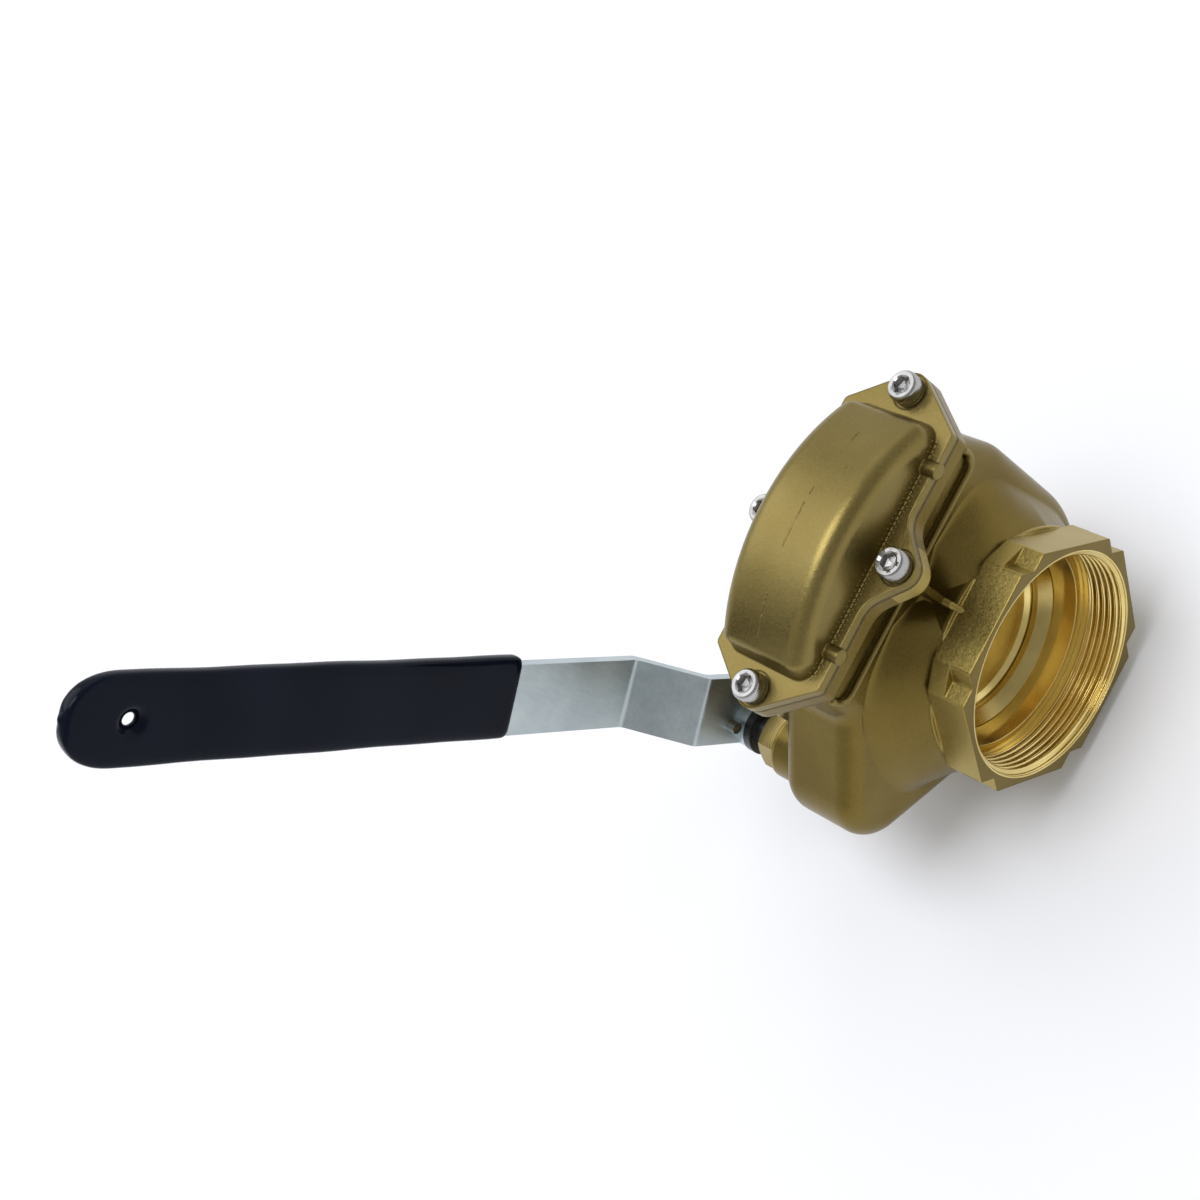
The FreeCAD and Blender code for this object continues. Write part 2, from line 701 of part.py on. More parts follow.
springs = []
for n in range(4):
    low = "-gate_gap / 2 + %d * gate_gap / 4" % n
    high = "-gate_gap / 2 + %d * gate_gap / 4" % (n + 1)
    wide, narrow = ("spring_outer", "gate_stub + running_play")
    start, finish = (narrow, wide) if n % 2 else (wide, narrow)
    cone = new_piece("gate_spring_%d" % (n + 1))
    turned(cone, "Revolution", "cone_%d" % (n + 1), [
        (low + " + spring_play / 2", start),
        (low + " + spring_play / 2 + spring_sheet", start),
        (high + " - spring_play / 2", finish),
        (high + " - spring_play / 2 - spring_sheet", finish),
    ])
    springs.append(cone)
gate_springs = doc.addObject("Part::Compound", "gate_springs")
gate_springs.Label = "gate_springs"
gate_springs.Links = springs
doc.recompute()

# Crank with its pin and rollers, drawn along +X and leaned down to the closed gate
SPINDLE_X = "-spindle_side"
SPINDLE_Z = "spindle_rise"


def on_spindle(name, lean=None):
    """A piece drawn about the spindle's axis."""
    return new_piece(name, SPINDLE_X, SPINDLE_Z, lean)


def draw_square(sketch, side):
    half = "(%s) / 2" % side
    draw_points(sketch, [("-" + half, "-" + half), (half, "-" + half), (half, half), ("-" + half, half)])


crank = on_spindle("crank_arm", "crank_lean")
slab(crank, "Pad", "arm", "XZ", "-crank_width / 2", "crank_width / 2",
     lambda s: draw_edges(s, pulled(value("crank_hub"), value("crank_eye"), value("crank_length"))))
slab(crank, "Pad", "hub", "XZ", "-crank_hub_width / 2", "crank_hub_width / 2",
     lambda s: draw_circle(s, "crank_hub"))
slab(crank, "Pocket", "square_hole", "XZ", "-crank_hub_width", "crank_hub_width",
     lambda s: draw_square(s, "spindle_square"))
slab(crank, "Pocket", "pin_hole", "XZ", "-crank_width", "crank_width",
     lambda s: draw_circle(s, "crank_pin", "crank_length"))

PIN_HALF = "(gate_gap / 2 + roller_width - roller_play)"
pin = on_spindle("crank_pin", "crank_lean")
slab(pin, "Pad", "pin_body", "XZ", "-" + PIN_HALF, PIN_HALF,
     lambda s: draw_circle(s, "crank_pin", "crank_length"))

rollers = []
for end, low, high in (("front", "-" + PIN_HALF, "-(crank_width / 2 + roller_play / 2)"),
                       ("rear", "crank_width / 2 + roller_play / 2", PIN_HALF)):
    roller = on_spindle("roller_" + end, "crank_lean")
    slab(roller, "Pad", "roller_pad_" + end, "XZ", low, high,
         lambda s: (draw_circle(s, "roller_radius", "crank_length"),
                    draw_circle(s, "crank_pin + shaft_play", "crank_length")))
    rollers.append(roller)
crank_rollers = doc.addObject("Part::Compound", "crank_rollers")
crank_rollers.Label = "crank_rollers"
crank_rollers.Links = rollers

# Spindle, from its blind bush in the front wall to the lever behind the rear port
BOX_FOOT = "(crank_hub_width / 2 + running_play + collar_thick)"
LEVER_FACE = "(ring_face + ring_thick + hub_collar_thick)"
spindle = on_spindle("spindle", "crank_lean")
turned(spindle, "Revolution", "shaft", [
    (BUSH_LOW + " + running_play", "0"),
    (LEVER_FACE + " + strip_thick", "0"),
    (LEVER_FACE + " + strip_thick", "lever_neck"),
    (LEVER_FACE, "lever_neck"),
    (LEVER_FACE, "spindle_radius"),
    (BOX_FOOT, "spindle_radius"),
    (BOX_FOOT, "spindle_collar"),
    ("crank_hub_width / 2 + shaft_play", "spindle_collar"),
    ("crank_hub_width / 2 + shaft_play", "journal_radius"),
    (BUSH_LOW + " + running_play", "journal_radius"),
])
slab(spindle, "Pad", "square", "XZ", "-crank_hub_width / 2", "crank_hub_width / 2 + shaft_play",
     lambda s: draw_square(s, "spindle_square"))
slab(spindle, "Pocket", "lever_screw_hole", "XZ",
     LEVER_FACE + " + strip_thick - lever_screw_depth", LEVER_FACE + " + strip_thick + 1",
     lambda s: draw_circle(s, "screw_radius"))

bush = on_spindle("spindle_bush")
turned(bush, "Revolution", "bush", tube_points(
    BUSH_LOW, BUSH_HIGH, "journal_radius + shaft_play", "journal_radius + bush_wall"))

# Stuffing box: a bottom washer, three packing rings and the gland nut
WASHER_TOP = BOX_FOOT + " + shaft_play + washer_ring"
bottom = on_spindle("packing_washer")
turned(bottom, "Revolution", "bottom_ring", tube_points(
    BOX_FOOT + " + shaft_play", WASHER_TOP, "spindle_radius + shaft_play", "gland_bore"))
packing = []
for n in range(3):
    ring = on_spindle("packing_%d" % (n + 1))
    turned(ring, "Revolution", "packing_ring_%d" % (n + 1), tube_points(
        WASHER_TOP + " + %d * packing_thick" % n,
        WASHER_TOP + " + %d * packing_thick" % (n + 1),
        "spindle_radius + shaft_play", "gland_bore"))
    packing.append(ring)
packing_rings = doc.addObject("Part::Compound", "packing_rings")
packing_rings.Label = "packing_rings"
packing_rings.Links = packing

GLAND_FOOT = "(" + WASHER_TOP + " + 3 * packing_thick)"
GLAND_TOP = "(gland_boss_reach + gland_head)"
gland = on_spindle("gland_nut")
turned(gland, "Revolution", "gland_sleeve", tube_points(
    GLAND_FOOT, GLAND_TOP, "spindle_radius + shaft_play", "gland_bore"))


def draw_hexagon(sketch, across):
    half = "(%s) / 2" % across
    reach = half + " / %f" % HEX_RISE
    draw_points(sketch, [
        (reach, "0"), (reach + " / 2", half), ("-" + reach + " / 2", half),
        ("-" + reach, "0"), ("-" + reach + " / 2", "-" + half), (reach + " / 2", "-" + half),
    ])


slab(gland, "Pad", "gland_hexagon", "XZ", "gland_boss_reach", GLAND_TOP,
     lambda s: (draw_hexagon(s, "gland_hex"), draw_circle(s, "spindle_radius + shaft_play")))
turned(gland, "Groove", "gland_bevel", [
    (GLAND_TOP + " + gland_bevel / 2", "gland_hex / 2 - gland_bevel"),
    (GLAND_TOP + " + gland_bevel / 2", "gland_hex"),
    (GLAND_TOP + " - gland_hex / 4", "gland_hex"),
])

# Ring, collar and lever on the spindle's rear end
ring = on_spindle("thrust_ring")
turned(ring, "Revolution", "thrust_ring_turned", tube_points(
    "ring_face", "ring_face + ring_thick", "spindle_radius + shaft_play", "ring_radius"))
collar = on_spindle("lever_collar")
turned(collar, "Revolution", "collar_turned", tube_points(
    "ring_face + ring_thick", LEVER_FACE, "spindle_radius + shaft_play", "hub_collar"))

GRIP_FACE = "(" + LEVER_FACE + " + bend_rise)"
strip = on_spindle("lever_strip", "-lever_lean")
bend_slope = "sqrt((bend_end - bend_start)^2 + bend_rise^2)"
bend_shift = "(strip_thick * (%s - (bend_end - bend_start)) / bend_rise)" % bend_slope
slab(strip, "Pad", "strip_pad", "YZ", "strip_offset - strip_width / 2", "strip_offset + strip_width / 2",
     lambda s: draw_points(s, [
         (LEVER_FACE, "-strip_tail"),
         (LEVER_FACE, "bend_start"),
         (GRIP_FACE, "bend_end"),
         (GRIP_FACE, "strip_end"),
         (GRIP_FACE + " + strip_thick", "strip_end"),
         (GRIP_FACE + " + strip_thick", "bend_end - " + bend_shift),
         (LEVER_FACE + " + strip_thick", "bend_start - " + bend_shift),
         (LEVER_FACE + " + strip_thick", "-strip_tail"),
     ]))
strip_thick = value("strip_thick")
strip_width = value("strip_width")
round_edges(strip, "strip_ends", "strip_width / 2 - end_flat",
            lambda e: abs(e.BoundBox.YLength - strip_thick) < 1e-4
            and e.BoundBox.ZLength < 1e-4 and e.BoundBox.XLength < 1e-4)
bend_low = value("bend_start - 4")
bend_high = value("bend_end + 1")
round_edges(strip, "strip_bends", "bend_round",
            lambda e: abs(e.BoundBox.XLength - strip_width) < 1e-4 and e.BoundBox.ZLength < 1e-4
            and bend_low < e.BoundBox.ZMin < bend_high)
slab(strip, "Pad", "strip_hub", "XZ", LEVER_FACE, LEVER_FACE + " + strip_thick",
     lambda s: draw_circle(s, "hub_collar"))
slab(strip, "Pocket", "strip_hole", "XZ", LEVER_FACE + " - 1", LEVER_FACE + " + strip_thick + 1",
     lambda s: draw_circle(s, "lever_neck"))
slab(strip, "Pocket", "stop_hole", "XZ", LEVER_FACE + " - 1", LEVER_FACE + " + strip_thick + 1",
     lambda s: draw_circle(s, "stop_pin", "0", "stop_place"))
slab(strip, "Pocket", "strip_hang_hole", "XZ", GRIP_FACE + " - 1", GRIP_FACE + " + strip_thick + 1",
     lambda s: draw_circle(s, "hang_hole", "strip_offset", "strip_end - hang_place"))

grip = on_spindle("lever_grip", "-lever_lean")
GRIP_WIDTH = "(strip_width + 2 * grip_wall)"
slab(grip, "Pad", "grip_pad", "XZ", GRIP_FACE + " - grip_wall", GRIP_FACE + " + strip_thick + grip_wall",
     lambda s: draw_points(s, [
         ("strip_offset - " + GRIP_WIDTH + " / 2", "grip_start"),
         ("strip_offset + " + GRIP_WIDTH + " / 2", "grip_start"),
         ("strip_offset + " + GRIP_WIDTH + " / 2", "strip_end + grip_wall"),
         ("strip_offset - " + GRIP_WIDTH + " / 2", "strip_end + grip_wall"),
     ]))
grip_end = value("strip_end + grip_wall")
round_edges(grip, "grip_end", "strip_width / 2 - end_flat + grip_wall",
            lambda e: e.BoundBox.YLength > strip_thick and e.BoundBox.ZMin > grip_end - 1e-4)
round_edges(grip, "grip_rounds", "grip_round",
            lambda e: e.BoundBox.YLength < 1e-4)
slab(grip, "Pocket", "grip_sleeve", "XZ", GRIP_FACE, GRIP_FACE + " + strip_thick",
     lambda s: draw_edges(s, rounded([
         (value("strip_offset - strip_width / 2"), value("grip_start - 1"), 0),
         (value("strip_offset + strip_width / 2"), value("grip_start - 1"), 0),
         (value("strip_offset + strip_width / 2"), value("strip_end"), value("strip_width / 2 - end_flat")),
         (value("strip_offset - strip_width / 2"), value("strip_end"), value("strip_width / 2 - end_flat")),
     ])))
slab(grip, "Pocket", "grip_hang_hole", "XZ", GRIP_FACE + " - grip_wall - 1", GRIP_FACE + " + strip_thick + grip_wall + 1",
     lambda s: draw_circle(s, "hang_hole - grip_wall / 2", "strip_offset", "strip_end - hang_place"))

STRIP_BACK = "(" + LEVER_FACE + " + strip_thick)"
washer = on_spindle("lever_washer")
turned(washer, "Revolution", "washer_turned", tube_points(
    STRIP_BACK, STRIP_BACK + " + washer_thick", "screw_radius + screw_play", "washer_radius"))
lever_screw = on_spindle("lever_screw")
slab(lever_screw, "Pad", "lever_screw_shank", "XZ",
     STRIP_BACK + " - lever_screw_depth + lever_screw_play", STRIP_BACK + " + washer_thick",
     lambda s: draw_circle(s, "screw_radius"))
slab(lever_screw, "Pad", "lever_screw_head", "XZ",
     STRIP_BACK + " + washer_thick", STRIP_BACK + " + washer_thick + lever_screw_head",
     lambda s: draw_hexagon(s, "lever_screw_hex"))
stop = on_spindle("stop_pin", "-lever_lean")
slab(stop, "Pad", "stop_pin_body", "XZ", LEVER_FACE + " - stop_reach", LEVER_FACE + " + strip_thick",
     lambda s: draw_circle(s, "stop_pin", "0", "stop_place"))

doc.recompute()

# Check every object, then write one file for each piece
GROUPED = set(s.Name for s in springs + rollers + packing)
pieces = [o for o in doc.Objects if o.TypeId == "PartDesign::Body" and o.Name not in GROUPED]
pieces += [screws, gate_springs, crank_rollers, packing_rings]
for thing in doc.Objects:
    state = " ".join(thing.State)
    if "Invalid" in state or "Error" in state:
        raise RuntimeError("%s is %s" % (thing.Name, state))
for piece in pieces:
    if piece.Shape.isNull() or not piece.Shape.isValid():
        raise RuntimeError("%s has no valid shape" % piece.Name)
for piece in pieces:
    piece.Shape.exportStep("parts/%s.step" % piece.Label)
    box = piece.Shape.BoundBox
    print("%-18s %2d solids %10.0f mm3  x %7.1f %7.1f  y %7.1f %7.1f  z %7.1f %7.1f" % (
        piece.Label, len(piece.Shape.Solids), piece.Shape.Volume,
        box.XMin, box.XMax, box.YMin, box.YMax, box.ZMin, box.ZMax))
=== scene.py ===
"""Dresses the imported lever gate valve: finishes, threads, screws, grip, casting marks and a studio."""
import math

import bmesh
import bpy
from mathutils import Matrix, Vector
from mathutils.bvhtree import BVHTree
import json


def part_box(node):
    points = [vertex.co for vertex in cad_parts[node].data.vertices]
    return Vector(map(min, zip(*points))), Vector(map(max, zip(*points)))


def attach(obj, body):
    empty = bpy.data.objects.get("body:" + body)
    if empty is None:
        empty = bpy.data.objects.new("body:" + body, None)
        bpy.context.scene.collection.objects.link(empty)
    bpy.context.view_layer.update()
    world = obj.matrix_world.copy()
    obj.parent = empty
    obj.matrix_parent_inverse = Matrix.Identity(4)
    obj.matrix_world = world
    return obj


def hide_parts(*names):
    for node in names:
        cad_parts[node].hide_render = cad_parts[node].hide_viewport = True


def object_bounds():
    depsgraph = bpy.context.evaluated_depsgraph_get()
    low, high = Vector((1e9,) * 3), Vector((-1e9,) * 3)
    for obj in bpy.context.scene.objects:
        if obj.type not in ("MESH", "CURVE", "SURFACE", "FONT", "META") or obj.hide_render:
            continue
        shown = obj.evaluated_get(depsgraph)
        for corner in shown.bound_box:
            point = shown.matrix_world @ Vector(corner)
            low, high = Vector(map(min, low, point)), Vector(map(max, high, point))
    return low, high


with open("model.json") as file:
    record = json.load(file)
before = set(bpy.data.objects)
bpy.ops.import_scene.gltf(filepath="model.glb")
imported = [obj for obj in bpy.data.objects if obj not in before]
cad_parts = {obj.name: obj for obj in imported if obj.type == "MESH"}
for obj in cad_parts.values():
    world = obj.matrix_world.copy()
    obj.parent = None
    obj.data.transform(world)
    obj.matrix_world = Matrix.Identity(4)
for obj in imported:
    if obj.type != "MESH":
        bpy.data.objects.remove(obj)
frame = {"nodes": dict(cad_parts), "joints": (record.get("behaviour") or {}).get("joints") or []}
cad_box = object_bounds()
nodes = frame["nodes"]

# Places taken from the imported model, in metres
body_low, body_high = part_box("valve_body")
gasket_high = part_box("bonnet_gasket")[1]
screws_low, screws_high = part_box("bonnet_screws")
grip_low, grip_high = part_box("lever_grip")
swing = next(joint for joint in frame["joints"] if joint["name"] == "lever_swing")
PORT_MIDDLE = (body_low.y + body_high.y) / 2
PORT_HALF = (body_high.y - body_low.y) / 2
SPINDLE = Vector((swing["pos_m"][0], 0, swing["pos_m"][2]))
COVER_FLANGE = 0.0032
COVER_TOP = gasket_high.z + COVER_FLANGE

# Sizes shared by several pieces, in metres
THREAD_RADIUS = 0.0376
THREAD_PITCH = 0.0254 / 11
CASTING_HALF = 0.0158
ABOVE = 0.13
DOWN = (0, 0, -1)

# Directions along the lever and across it, which leans back by 20.9 degrees
LEVER_AXIS = Vector((-0.3567, 0, 0.9342))
LEVER_WIDTH = Vector((0.9342, 0, 0.3567))


# Small helpers for meshes and pieces
def angles_round(count):
    """The angles of count points round a circle."""
    return [2 * math.pi * k / count for k in range(count)]


def tube_faces(rows, count, first=0):
    """Quads between rows + 1 rings of count points, numbered from first."""
    faces = []
    for row in range(rows):
        for k in range(count):
            a = first + row * count + k
            b = first + row * count + (k + 1) % count
            faces.append((a, b, b + count, a + count))
    return faces


def mesh_from_points(name, points, faces):
    mesh = bpy.data.meshes.new(name)
    mesh.from_pydata(points, [], faces)
    mesh.update()
    return mesh


def mesh_from_bmesh(name, bm):
    mesh = bpy.data.meshes.new(name)
    bm.to_mesh(mesh)
    return mesh


def turn_outwards(mesh):
    """Makes the faces' normals agree and point outwards."""
    bm = bmesh.new()
    bm.from_mesh(mesh)
    bmesh.ops.recalc_face_normals(bm, faces=bm.faces)
    bm.to_mesh(mesh)


def linked(name, content):
    """A new object in the scene."""
    made = bpy.data.objects.new(name, content)
    bpy.context.scene.collection.objects.link(made)
    return made


def dressed(name, body, mesh, material):
    """A new smooth piece from a mesh, riding on a body."""
    piece = linked(name, mesh)
    mesh.materials.append(material)
    for face in mesh.polygons:
        face.use_smooth = True
    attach(piece, body)
    return piece


def apply_modifiers(piece):
    """Puts the result of the piece's modifiers into its mesh."""
    graph = bpy.context.evaluated_depsgraph_get()
    mesh = bpy.data.meshes.new_from_object(piece.evaluated_get(graph))
    piece.modifiers.clear()
    piece.data = mesh


# Node trees
NOISE_SPAN = (0.3, 0.7)
COLOUR_A = 6
COLOUR_B = 7
COLOUR_OUT = 2


class Nodes:
    """A node tree, with short ways to add nodes to it."""

    def __init__(self, tree):
        self.tree = tree

    def node(self, kind, **settings):
        made = self.tree.nodes.new(kind)
        for key, setting in settings.items():
            setattr(made, key, setting)
        return made

    def feed(self, socket, item):
        """Links a socket to another socket, or sets it to a number or a colour."""
        if isinstance(item, bpy.types.NodeSocket):
            self.tree.links.new(item, socket)
        elif isinstance(item, tuple):
            socket.default_value = (*item, 1.0)
        else:
            socket.default_value = item

    def coordinates(self, kind):
        """The X, Y and Z sockets of one kind of texture coordinate."""
        parts = self.node("ShaderNodeSeparateXYZ")
        self.feed(parts.inputs[0], self.node("ShaderNodeTexCoord").outputs[kind])
        return parts.outputs

    def compute(self, operation, first, second=None):
        made = self.node("ShaderNodeMath", operation=operation)
        self.feed(made.inputs[0], first)
        if second is not None:
            self.feed(made.inputs[1], second)
        return made.outputs[0]

    def blend(self, factor, first, second):
        """first where factor is 0 and second where it is 1, each a number or a socket."""
        span = self.compute("SUBTRACT", second, first)
        return self.compute("ADD", self.compute("MULTIPLY", span, factor), first)

    def weighed(self, first, first_share, second, second_share):
        """The sum of two sockets, each times its share."""
        first = self.compute("MULTIPLY", first, first_share)
        return self.compute("ADD", first, self.compute("MULTIPLY", second, second_share))

    def remap(self, value, start, end):
        """Maps the span start to the span end, each a pair of numbers."""
        made = self.node("ShaderNodeMapRange")
        for key, number in zip(("From Min", "From Max", "To Min", "To Max"), (*start, *end)):
            made.inputs[key].default_value = number
        self.feed(made.inputs["Value"], value)
        return made.outputs["Result"]

    def ramp(self, factor, stops):
        """A colour ramp with stops of place and colour."""
        made = self.node("ShaderNodeValToRGB")
        elements = made.color_ramp.elements
        while len(elements) < len(stops):
            elements.new(0.5)
        for element, (place, colour) in zip(elements, stops):
            element.position = place
            element.color = (*colour, 1.0)
        self.feed(made.inputs["Fac"], factor)
        return made.outputs["Color"]

    def shade(self, factor, tones, span=NOISE_SPAN):
        """A ramp from the dark tone to the light one over a span of the factor."""
        return self.ramp(factor, list(zip(span, tones)))

    def mix(self, factor, first, second):
        """The colour first where factor is 0 and second where it is 1."""
        made = self.node("ShaderNodeMix", data_type="RGBA")
        self.feed(made.inputs["Factor"], factor)
        self.feed(made.inputs[COLOUR_A], first)
        self.feed(made.inputs[COLOUR_B], second)
        return made.outputs[COLOUR_OUT]


class Surface(Nodes):
    """A procedural material round one Principled shader."""

    def __init__(self, name, metallic, roughness):
        self.material = bpy.data.materials.new(name)
        self.material.use_nodes = True
        super().__init__(self.material.node_tree)
        self.shader = self.tree.nodes["Principled BSDF"]
        self.shader.inputs["Metallic"].default_value = metallic
        self.shader.inputs["Roughness"].default_value = roughness

    def noise(self, scale, detail, roughness=0.5, turn=None, stretch=None):
        """A noise over the object's own coordinates, turned and stretched if asked."""
        made = self.node("ShaderNodeTexNoise")
        made.inputs["Scale"].default_value = scale
        made.inputs["Detail"].default_value = detail
        made.inputs["Roughness"].default_value = roughness
        place = self.node("ShaderNodeTexCoord").outputs["Object"]
        if stretch:
            mapping = self.node("ShaderNodeMapping")
            mapping.inputs["Rotation"].default_value = turn
            mapping.inputs["Scale"].default_value = stretch
            self.feed(mapping.inputs["Vector"], place)
            place = mapping.outputs["Vector"]
        self.feed(made.inputs["Vector"], place)
        return made.outputs["Fac"]

    def bump(self, height, strength, distance, under=None):
        made = self.node("ShaderNodeBump")
        made.inputs["Strength"].default_value = strength
        made.inputs["Distance"].default_value = distance
        self.feed(made.inputs["Height"], height)
        if under is not None:
            self.feed(made.inputs["Normal"], under)
        return made.outputs["Normal"]

    def rounded(self, radius):
        """Normals that turn softly over the sharp edges."""
        made = self.node("ShaderNodeBevel", samples=6)
        made.inputs["Radius"].default_value = radius
        return made.outputs["Normal"]

    def along(self):
        """How far a point is along the pipe."""
        return self.coordinates("Object")["Y"]

    def radius(self, x=0.0, z=0.0):
        """How far a point is from an axis along the pipe."""
        place = self.coordinates("Object")
        across = self.compute("POWER", self.compute("SUBTRACT", place["X"], x), 2.0)
        up = self.compute("POWER", self.compute("SUBTRACT", place["Z"], z), 2.0)
        return self.compute("SQRT", self.compute("ADD", across, up))

    def turning(self, pitch, x=0.0, z=0.0):
        """Fine lathe marks, from 0 to 1: rings round an axis and along it."""
        depth = self.compute("MULTIPLY", self.along(), TURNING_LEAN)
        spread = self.compute("ADD", self.radius(x, z), depth)
        wave = self.compute("SINE", self.compute("MULTIPLY", spread, 2 * math.pi / pitch))
        return self.compute("ADD", self.compute("MULTIPLY", wave, 0.5), 0.5)

    def finish(self, colour, roughness=None, normal=None):
        for key, socket in (("Base Color", colour), ("Roughness", roughness), ("Normal", normal)):
            if socket is not None:
                self.feed(self.shader.inputs[key], socket)
        return self.material


# Tones, as ramp stops for the cast brass and as a dark and a light tone for the rest
COVER_TONES = ((0.30, (0.180, 0.132, 0.037)), (0.5, (0.225, 0.171, 0.053)), (0.72, (0.285, 0.226, 0.080)))
# The body's tones are a darker copy of the cover's cast brass: painted shade for the walls of the body
SHADED_BODY_TONES = ((0.30, (0.138, 0.095, 0.020)), (0.5, (0.180, 0.128, 0.029)), (0.72, (0.230, 0.171, 0.047)))
PALE_END_TONES = ((0.30, (0.300, 0.219, 0.056)), (0.5, (0.370, 0.278, 0.078)), (0.72, (0.450, 0.352, 0.115)))
CUT_TONES = ((0.78, 0.60, 0.21), (0.88, 0.71, 0.29))
DISC_TONES = ((0.78, 0.60, 0.21), (0.90, 0.73, 0.31))
# The seat rings' tones are a darker copy of the disc's turned brass: painted shade deep in the bore
SHADED_SEAT_TONES = ((0.44, 0.33, 0.11), (0.58, 0.45, 0.17))
GLAND_TONES = ((0.26, 0.19, 0.06), (0.36, 0.27, 0.10))
SPINDLE_TONES = ((0.22, 0.22, 0.23), (0.34, 0.34, 0.35))
STAINLESS_TONES = ((0.34, 0.33, 0.32), (0.47, 0.46, 0.44))
ZINC_TONES = ((0.38, 0.44, 0.46), (0.56, 0.62, 0.62))
BRONZE_TONES = ((0.42, 0.22, 0.08), (0.55, 0.31, 0.12))
RUBBER_TONES = ((0.008, 0.008, 0.008), (0.02, 0.02, 0.02))
PACKING_TONES = ((0.10, 0.10, 0.10), (0.24, 0.23, 0.22))
FIBRE_TONES = ((0.075, 0.055, 0.022), (0.12, 0.09, 0.04))
PLASTIC_TONES = ((0.006, 0.006, 0.007), (0.014, 0.014, 0.015))
VINYL_TONES = ((0.0022, 0.0040, 0.0100), (0.0045, 0.0072, 0.0155))
FLOOR_TONES = ((0.93, 0.93, 0.93), (0.95, 0.95, 0.95))

# Where the body's wrench ends turn paler and where it is cut, in metres from the pipe axis and from the
# middle plane
CUT_RADIUS = THREAD_RADIUS + 0.0005
PALE_END_START = 0.0262
FACE_START = PORT_HALF - 0.0001

# Lathe marks and edges, in metres
LATHE_PITCH = 0.00028
GLAND_PITCH = 0.0009
SPINDLE_PITCH = 0.0004
TURNING_LEAN = 0.83
EDGE_RADIUS = 0.0008
CAST_DEPTH = 0.00016


# Materials
def cast_brass(name, tones, machined=False):
    """Blasted cast brass, with paler wrench ends and bright port bores where machined is true."""
    surface = Surface(name, metallic=0.9, roughness=0.45)
    cloud = surface.noise(scale=28, detail=3)
    grain = surface.noise(scale=1500, detail=3, roughness=0.65)
    pits = surface.noise(scale=520, detail=2, roughness=0.6)
    tone = surface.weighed(cloud, 0.6, grain, 0.4)
    colour = surface.ramp(tone, tones)
    rough = surface.remap(grain, NOISE_SPAN, (0.27, 0.42))
    height = surface.weighed(grain, 0.6, pits, 0.7)
    if machined:
        middle = surface.compute("ABSOLUTE", surface.compute("SUBTRACT", surface.along(), PORT_MIDDLE))
        ends = surface.compute("GREATER_THAN", middle, PALE_END_START)
        faced = surface.compute("GREATER_THAN", middle, FACE_START)
        pale_ends = surface.compute("SUBTRACT", ends, faced)
        colour = surface.mix(pale_ends, colour, surface.ramp(tone, PALE_END_TONES))
        cut = surface.compute("LESS_THAN", surface.radius(), CUT_RADIUS)
        wear = surface.noise(scale=60, detail=2)
        colour = surface.mix(cut, colour, surface.shade(wear, CUT_TONES))
        rough = surface.blend(cut, rough, surface.remap(wear, NOISE_SPAN, (0.10, 0.18)))
        marks = surface.compute("MULTIPLY", surface.turning(LATHE_PITCH), 0.06)
        height = surface.blend(cut, height, marks)
    normal = surface.bump(height, strength=0.42, distance=CAST_DEPTH, under=surface.rounded(EDGE_RADIUS))
    return surface.finish(colour, rough, normal)


def turned_metal(name, tones, pitch, axis=None):
    """Turned metal with fine rings round an axis along Y, the pipe's where none is given."""
    surface = Surface(name, metallic=1.0, roughness=0.22)
    wear = surface.noise(scale=70, detail=3)
    colour = surface.shade(wear, tones)
    rough = surface.remap(wear, NOISE_SPAN, (0.15, 0.26))
    if axis is None:
        around = surface.node("ShaderNodeTangent", direction_type="RADIAL", axis="Y")
        surface.shader.inputs["Anisotropic"].default_value = 0.55
        surface.shader.inputs["Anisotropic Rotation"].default_value = 0.25
        surface.feed(surface.shader.inputs["Tangent"], around.outputs[0])
        marks = surface.turning(pitch)
    else:
        marks = surface.turning(pitch, axis.x, axis.z)
    return surface.finish(colour, rough, surface.bump(marks, strength=0.25, distance=0.00002))


def zinc_plate(name, tones):
    """Blue-grey plating with faint streaks along the lever."""
    surface = Surface(name, metallic=0.92, roughness=0.34)
    cloud = surface.noise(scale=45, detail=4, roughness=0.6)
    streaks = surface.noise(scale=900, detail=2, roughness=0.6, turn=(0, 0.365, 0), stretch=(1, 1, 0.12))
    tone = surface.weighed(cloud, 0.75, streaks, 0.25)
    colour = surface.shade(tone, tones, (0.32, 0.68))
    rough = surface.remap(tone, NOISE_SPAN, (0.28, 0.42))
    return surface.finish(colour, rough, surface.bump(streaks, strength=0.18, distance=0.00004))


def mottled(name, tones, metallic, roughness, scale, strength, distance=0.00005):
    """A cloudy colour under a fine grain, for the small parts."""
    surface = Surface(name, metallic, roughness)
    cloud = surface.noise(scale=scale, detail=3, roughness=0.6)
    grain = surface.noise(scale=scale * 14, detail=2, roughness=0.6)
    colour = surface.shade(cloud, tones)
    rough = surface.remap(grain, NOISE_SPAN, (roughness * 0.85, min(1.0, roughness * 1.15)))
    return surface.finish(colour, rough, surface.bump(grain, strength, distance))


def dipped_vinyl(name, tones):
    """Thick glossy vinyl dip with slow waves."""
    surface = Surface(name, metallic=0.0, roughness=0.1)
    surface.shader.inputs["Specular IOR Level"].default_value = 0.1
    waves = surface.noise(scale=38, detail=1, roughness=0.4)
    grain = surface.noise(scale=700, detail=2)
    colour = surface.shade(waves, tones)
    rough = surface.remap(grain, NOISE_SPAN, (0.07, 0.13))
    return surface.finish(colour, rough, surface.bump(waves, strength=0.12, distance=0.0012))
